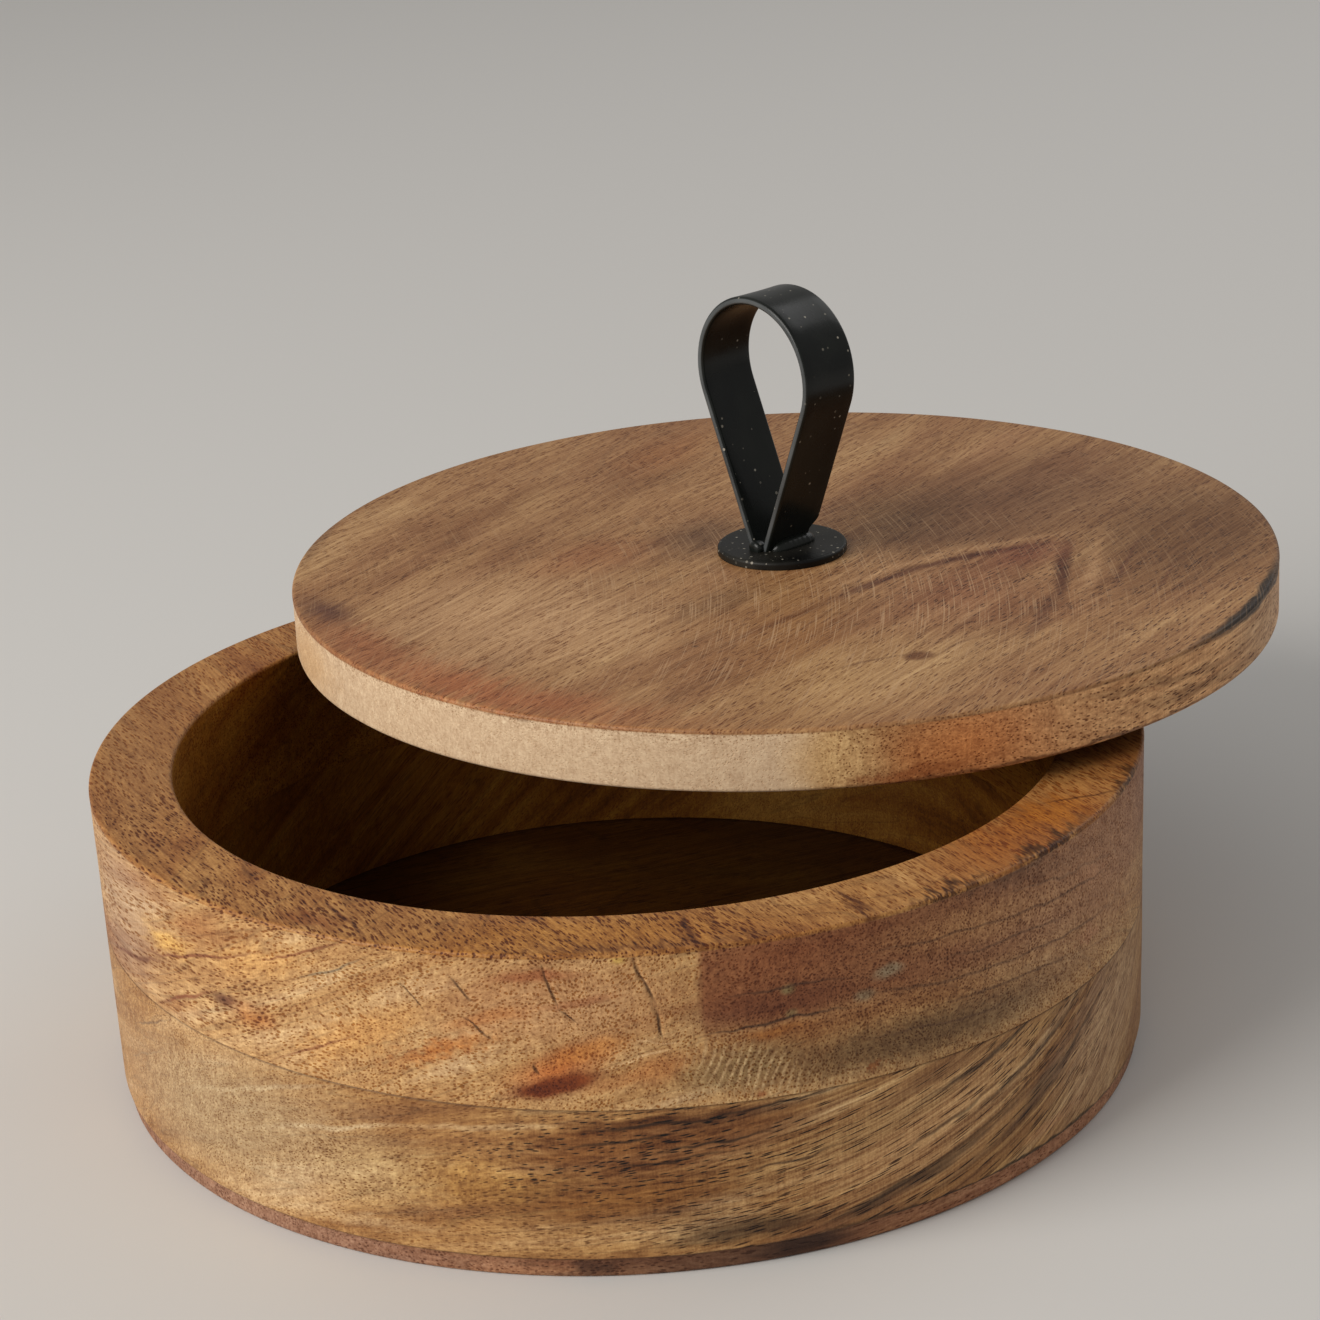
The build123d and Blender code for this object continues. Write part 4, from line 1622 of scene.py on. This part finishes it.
    def build(self) -> list[bpy.types.Object]:
        """Builds the flange, the strip and the weld, and dresses them.

        Returns:
            The finished pieces.
        """
        coat = PowderCoat().dress()
        thick = PowderCoat(name="powder_coat_over_weld", roughness=0.22).dress()
        dull = PowderCoat(name="powder_coat_flange", tone="#090908", worn_tone="#24221D", roughness=0.42,
                          gloss=0.2, specks=0.8).dress()
        return [
            make_piece("flange_coated", self.flange_skin(), dull, "handle_flange", "lid"),
            make_piece("strip_coated", self.strip_skin(), coat, "handle_strip", "lid"),
            make_piece("weld_coated", self.weld_skin(), thick, "handle_weld", "lid"),
        ]


@dataclass
class HandleScrew:
    """The screw that holds the handle from below, and its washer. Sizes are in millimetres."""

    head_underside: float = 75.0
    head_height: float = 2.6
    head_radius: float = 4.0
    head_round: float = 0.9
    radius: float = 2.0
    length: float = 16.0
    tip_length: float = 0.4
    tip_radius: float = 1.4
    thread_pitch: float = 0.7
    thread_depth: float = 0.32
    recess_width: float = 0.9
    recess_length: float = 4.4
    recess_depth: float = 1.3
    recess_side: float = 0.18  # Width of the recess's sloping sides.
    recess_end: float = 0.5  # Length of its sloping ends.
    washer_radius: float = 5.5
    washer_thickness: float = 0.8
    washer_fit: float = 0.25
    washer_round: float = 0.15

    def screw_skin(self) -> Skin:
        """Turns the screw from the middle of its head's underside to its tip.

        The cross recess is a smooth window |x| < width / 2, |y| < length / 2, and the same the other way. The
        thread is a wave of the radius that shifts by one pitch for each turn.

        Returns:
            The screw's surface.
        """
        bottom = self.head_underside - self.head_height
        tip = self.head_underside + self.length
        section = Section((0, bottom))
        section.run((self.head_radius - self.head_round, bottom), 26, Face.WALL)
        section.rounding(self.head_round, -90, 6, Face.WALL)
        section.run((self.head_radius, self.head_underside), 4, Face.WALL)
        section.run((self.radius, self.head_underside), 4, Face.WALL)
        section.run((self.radius, tip - self.tip_length), 130, Face.INNER)
        section.run((self.tip_radius, tip), 3, Face.WALL)
        section.run((0, tip), 3, Face.WALL)
        turn = even_angles(96)[:, None]
        x, y = section.radius * np.cos(turn), section.radius * np.sin(turn)
        depth = 0.0
        for a, b in ((x, y), (y, x)):
            inside = np.clip((self.recess_width / 2 - np.abs(a)) / self.recess_side + 0.5, 0, 1)
            within = np.clip((self.recess_length / 2 - np.abs(b)) / self.recess_end, 0, 1)
            depth = np.maximum(depth, self.recess_depth * inside * within)
        lift = depth * (section.height < bottom + 0.01)
        phase = (section.height + lift) / self.thread_pitch - turn / (2 * math.pi)
        sink = self.thread_depth * np.abs(2 * (phase % 1) - 1) * section.on(Face.INNER)
        return section.turned(turn[:, 0], hollow=False, sink=sink, lift=lift).moved(LID_CENTRE)

    def washer_skin(self) -> Skin:
        """Turns the washer, with edges rounded as stamping leaves them.

        Returns:
            The washer's surface.
        """
        low, high = self.head_underside, self.head_underside + self.washer_thickness
        inner, small = self.radius + self.washer_fit, self.washer_round
        section = Section((self.washer_radius - small, low))
        section.rounding(small, -90, 4, Face.WALL)
        # The straight edge between the two rounds is one step, so the next stretch starts at its end.
        section.at = (self.washer_radius, high - small)
        section.rounding(small, 0, 4, Face.WALL)
        section.run((inner, high), 6, Face.WALL)
        section.run((inner, low), 3, Face.WALL)
        section.run((self.washer_radius - small, low), 6, Face.WALL)
        return section.turned(even_angles(96)).moved(LID_CENTRE)

    def build(self) -> list[bpy.types.Object]:
        """Builds the screw and its washer, and dresses them.

        Returns:
            The finished pieces.
        """
        zinc = ZincPlate().dress()
        return [
            make_piece("screw_threaded", self.screw_skin(), zinc, "handle_screw", "lid"),
            make_piece("washer_stamped", self.washer_skin(), zinc, "screw_washer", "lid"),
        ]


@dataclass(frozen=True)
class Studio:
    """Pale floor, soft lights and the camera. Lengths are in metres, and angles in radians."""

    floor_side: float = 12.0
    floor_tone: str = "#DBD9D6"
    sky_tone: str = "#F6F4F1"
    sky: float = 0.36
    key_power: float = 34.0
    fill_power: float = 5.0
    aim: Place = (0.0, 0.02, 0.06)
    distance: float = 0.78667
    elevation: float = 0.4567
    yaw: float = 0.0149
    pitch: float = 0.3534
    roll: float = -0.0527
    focal: float = 3449.8
    image_side: float = 1320.0
    sensor: float = 36.0

    def floor(self) -> None:
        """Lays a large pale matt sheet under the object."""
        mesh = bpy.data.meshes.new("floor_sheet")
        side = self.floor_side / 2
        corners = [(-side, -side, 0), (side, -side, 0), (side, side, 0), (-side, side, 0)]
        mesh.from_pydata(corners, [], [(0, 1, 2, 3)])
        sheet = bpy.data.objects.new("floor_sheet", mesh)
        bpy.context.scene.collection.objects.link(sheet)
        material, tree = blank("floor_matt_pale")
        end_with(tree, {"Base Color": linear(self.floor_tone), "Roughness": 0.9})
        mesh.materials.append(material)

    def lamp(self, name: str, at: Place, side: float, power: float, tone: str) -> None:
        """Hangs one square soft box that faces the object.

        Args:
            name: name of the lamp.
            at: where it hangs.
            side: length of its side.
            power: its power in watts.
            tone: colour of its light.
        """
        data = bpy.data.lights.new(name, "AREA")
        data.size = side
        data.energy = power
        data.color = linear(tone)[:3]
        lamp = bpy.data.objects.new(name, data)
        bpy.context.scene.collection.objects.link(lamp)
        back = np.array(at) - np.array(self.aim)
        back = back / np.linalg.norm(back)
        right = np.cross([0, 0, 1], back)
        right = right / np.linalg.norm(right)
        lamp.matrix_world = self.pose(right, np.cross(back, right), back, at)

    def pose(self, right: np.ndarray, up: np.ndarray, back: np.ndarray, at: Place) -> Matrix:
        """Puts three axes and a place together.

        Args:
            right: direction of the object's own X.
            up: direction of its Y.
            back: direction of its Z, from which a lamp or a camera looks away.
            at: where it is.

        Returns:
            The pose.
        """
        pose = np.eye(4)
        pose[:3] = np.stack([right, up, back, at], -1)
        return Matrix(pose.tolist())

    def world(self) -> None:
        """Fills the shadows with an even pale sky."""
        world = bpy.data.worlds.new("studio_sky")
        world.use_nodes = True
        tree = world.node_tree
        tree.nodes.clear()
        seen_directly = add(tree, "ShaderNodeLightPath", {}).outputs["Is Camera Ray"]
        lit = add(tree, "ShaderNodeBackground", {"Color": linear(self.sky_tone), "Strength": self.sky})
        seen = add(tree, "ShaderNodeBackground", {"Color": linear(self.floor_tone), "Strength": 1.0})
        mixed = add(tree, "ShaderNodeMixShader", {0: seen_directly, 1: lit, 2: seen})
        add(tree, "ShaderNodeOutputWorld", {0: mixed})
        bpy.context.scene.world = world

    def camera(self) -> None:
        """Sets the camera by its distance, turns and focal length, worked out for the photograph's view."""
        cos_yaw, sin_yaw = math.cos(self.yaw), math.sin(self.yaw)
        cos_pitch, sin_pitch = math.cos(self.pitch), math.sin(self.pitch)
        cos_roll, sin_roll = math.cos(self.roll), math.sin(self.roll)
        forward = np.array([sin_yaw * cos_pitch, cos_yaw * cos_pitch, -sin_pitch])
        level = np.array([cos_yaw, -sin_yaw, 0.0])
        upward = np.cross(level, forward)
        right = cos_roll * level + sin_roll * upward
        top = cos_roll * upward - sin_roll * level
        away, high = self.distance * math.cos(self.elevation), self.distance * math.sin(self.elevation)
        data = bpy.data.cameras.new("camera_front")
        data.sensor_width = self.sensor
        data.lens = self.sensor * self.focal / self.image_side
        data.clip_start = 0.01
        data.clip_end = 50.0
        camera = bpy.data.objects.new("camera_front", data)
        camera.matrix_world = self.pose(right, top, -forward, (0.0, -away, high))
        bpy.context.scene.collection.objects.link(camera)
        bpy.context.scene.camera = camera

    def build(self) -> None:
        """Sets the floor, the lamps, the sky and the camera."""
        self.floor()
        self.lamp("key_left", (-1.48, -0.88, 1.05), 1.3, self.key_power, "#FFFBF5")
        self.lamp("fill_back_right", (1.2, 1.1, 1.3), 1.2, self.fill_power, "#FFFFFF")
        self.world()
        self.camera()
        bpy.context.scene.view_settings.view_transform = "Standard"


def main() -> None:
    """Builds the object and the studio in order."""
    logging.basicConfig(level=logging.INFO, format="%(message)s")
    pieces = []
    for part in (RoundBody(), Lid(), LoopHandle(), HandleScrew()):
        pieces += part.build()
    Studio().build()
    log.info("%d pieces built", len(pieces))


if __name__ == "__main__":
    main()
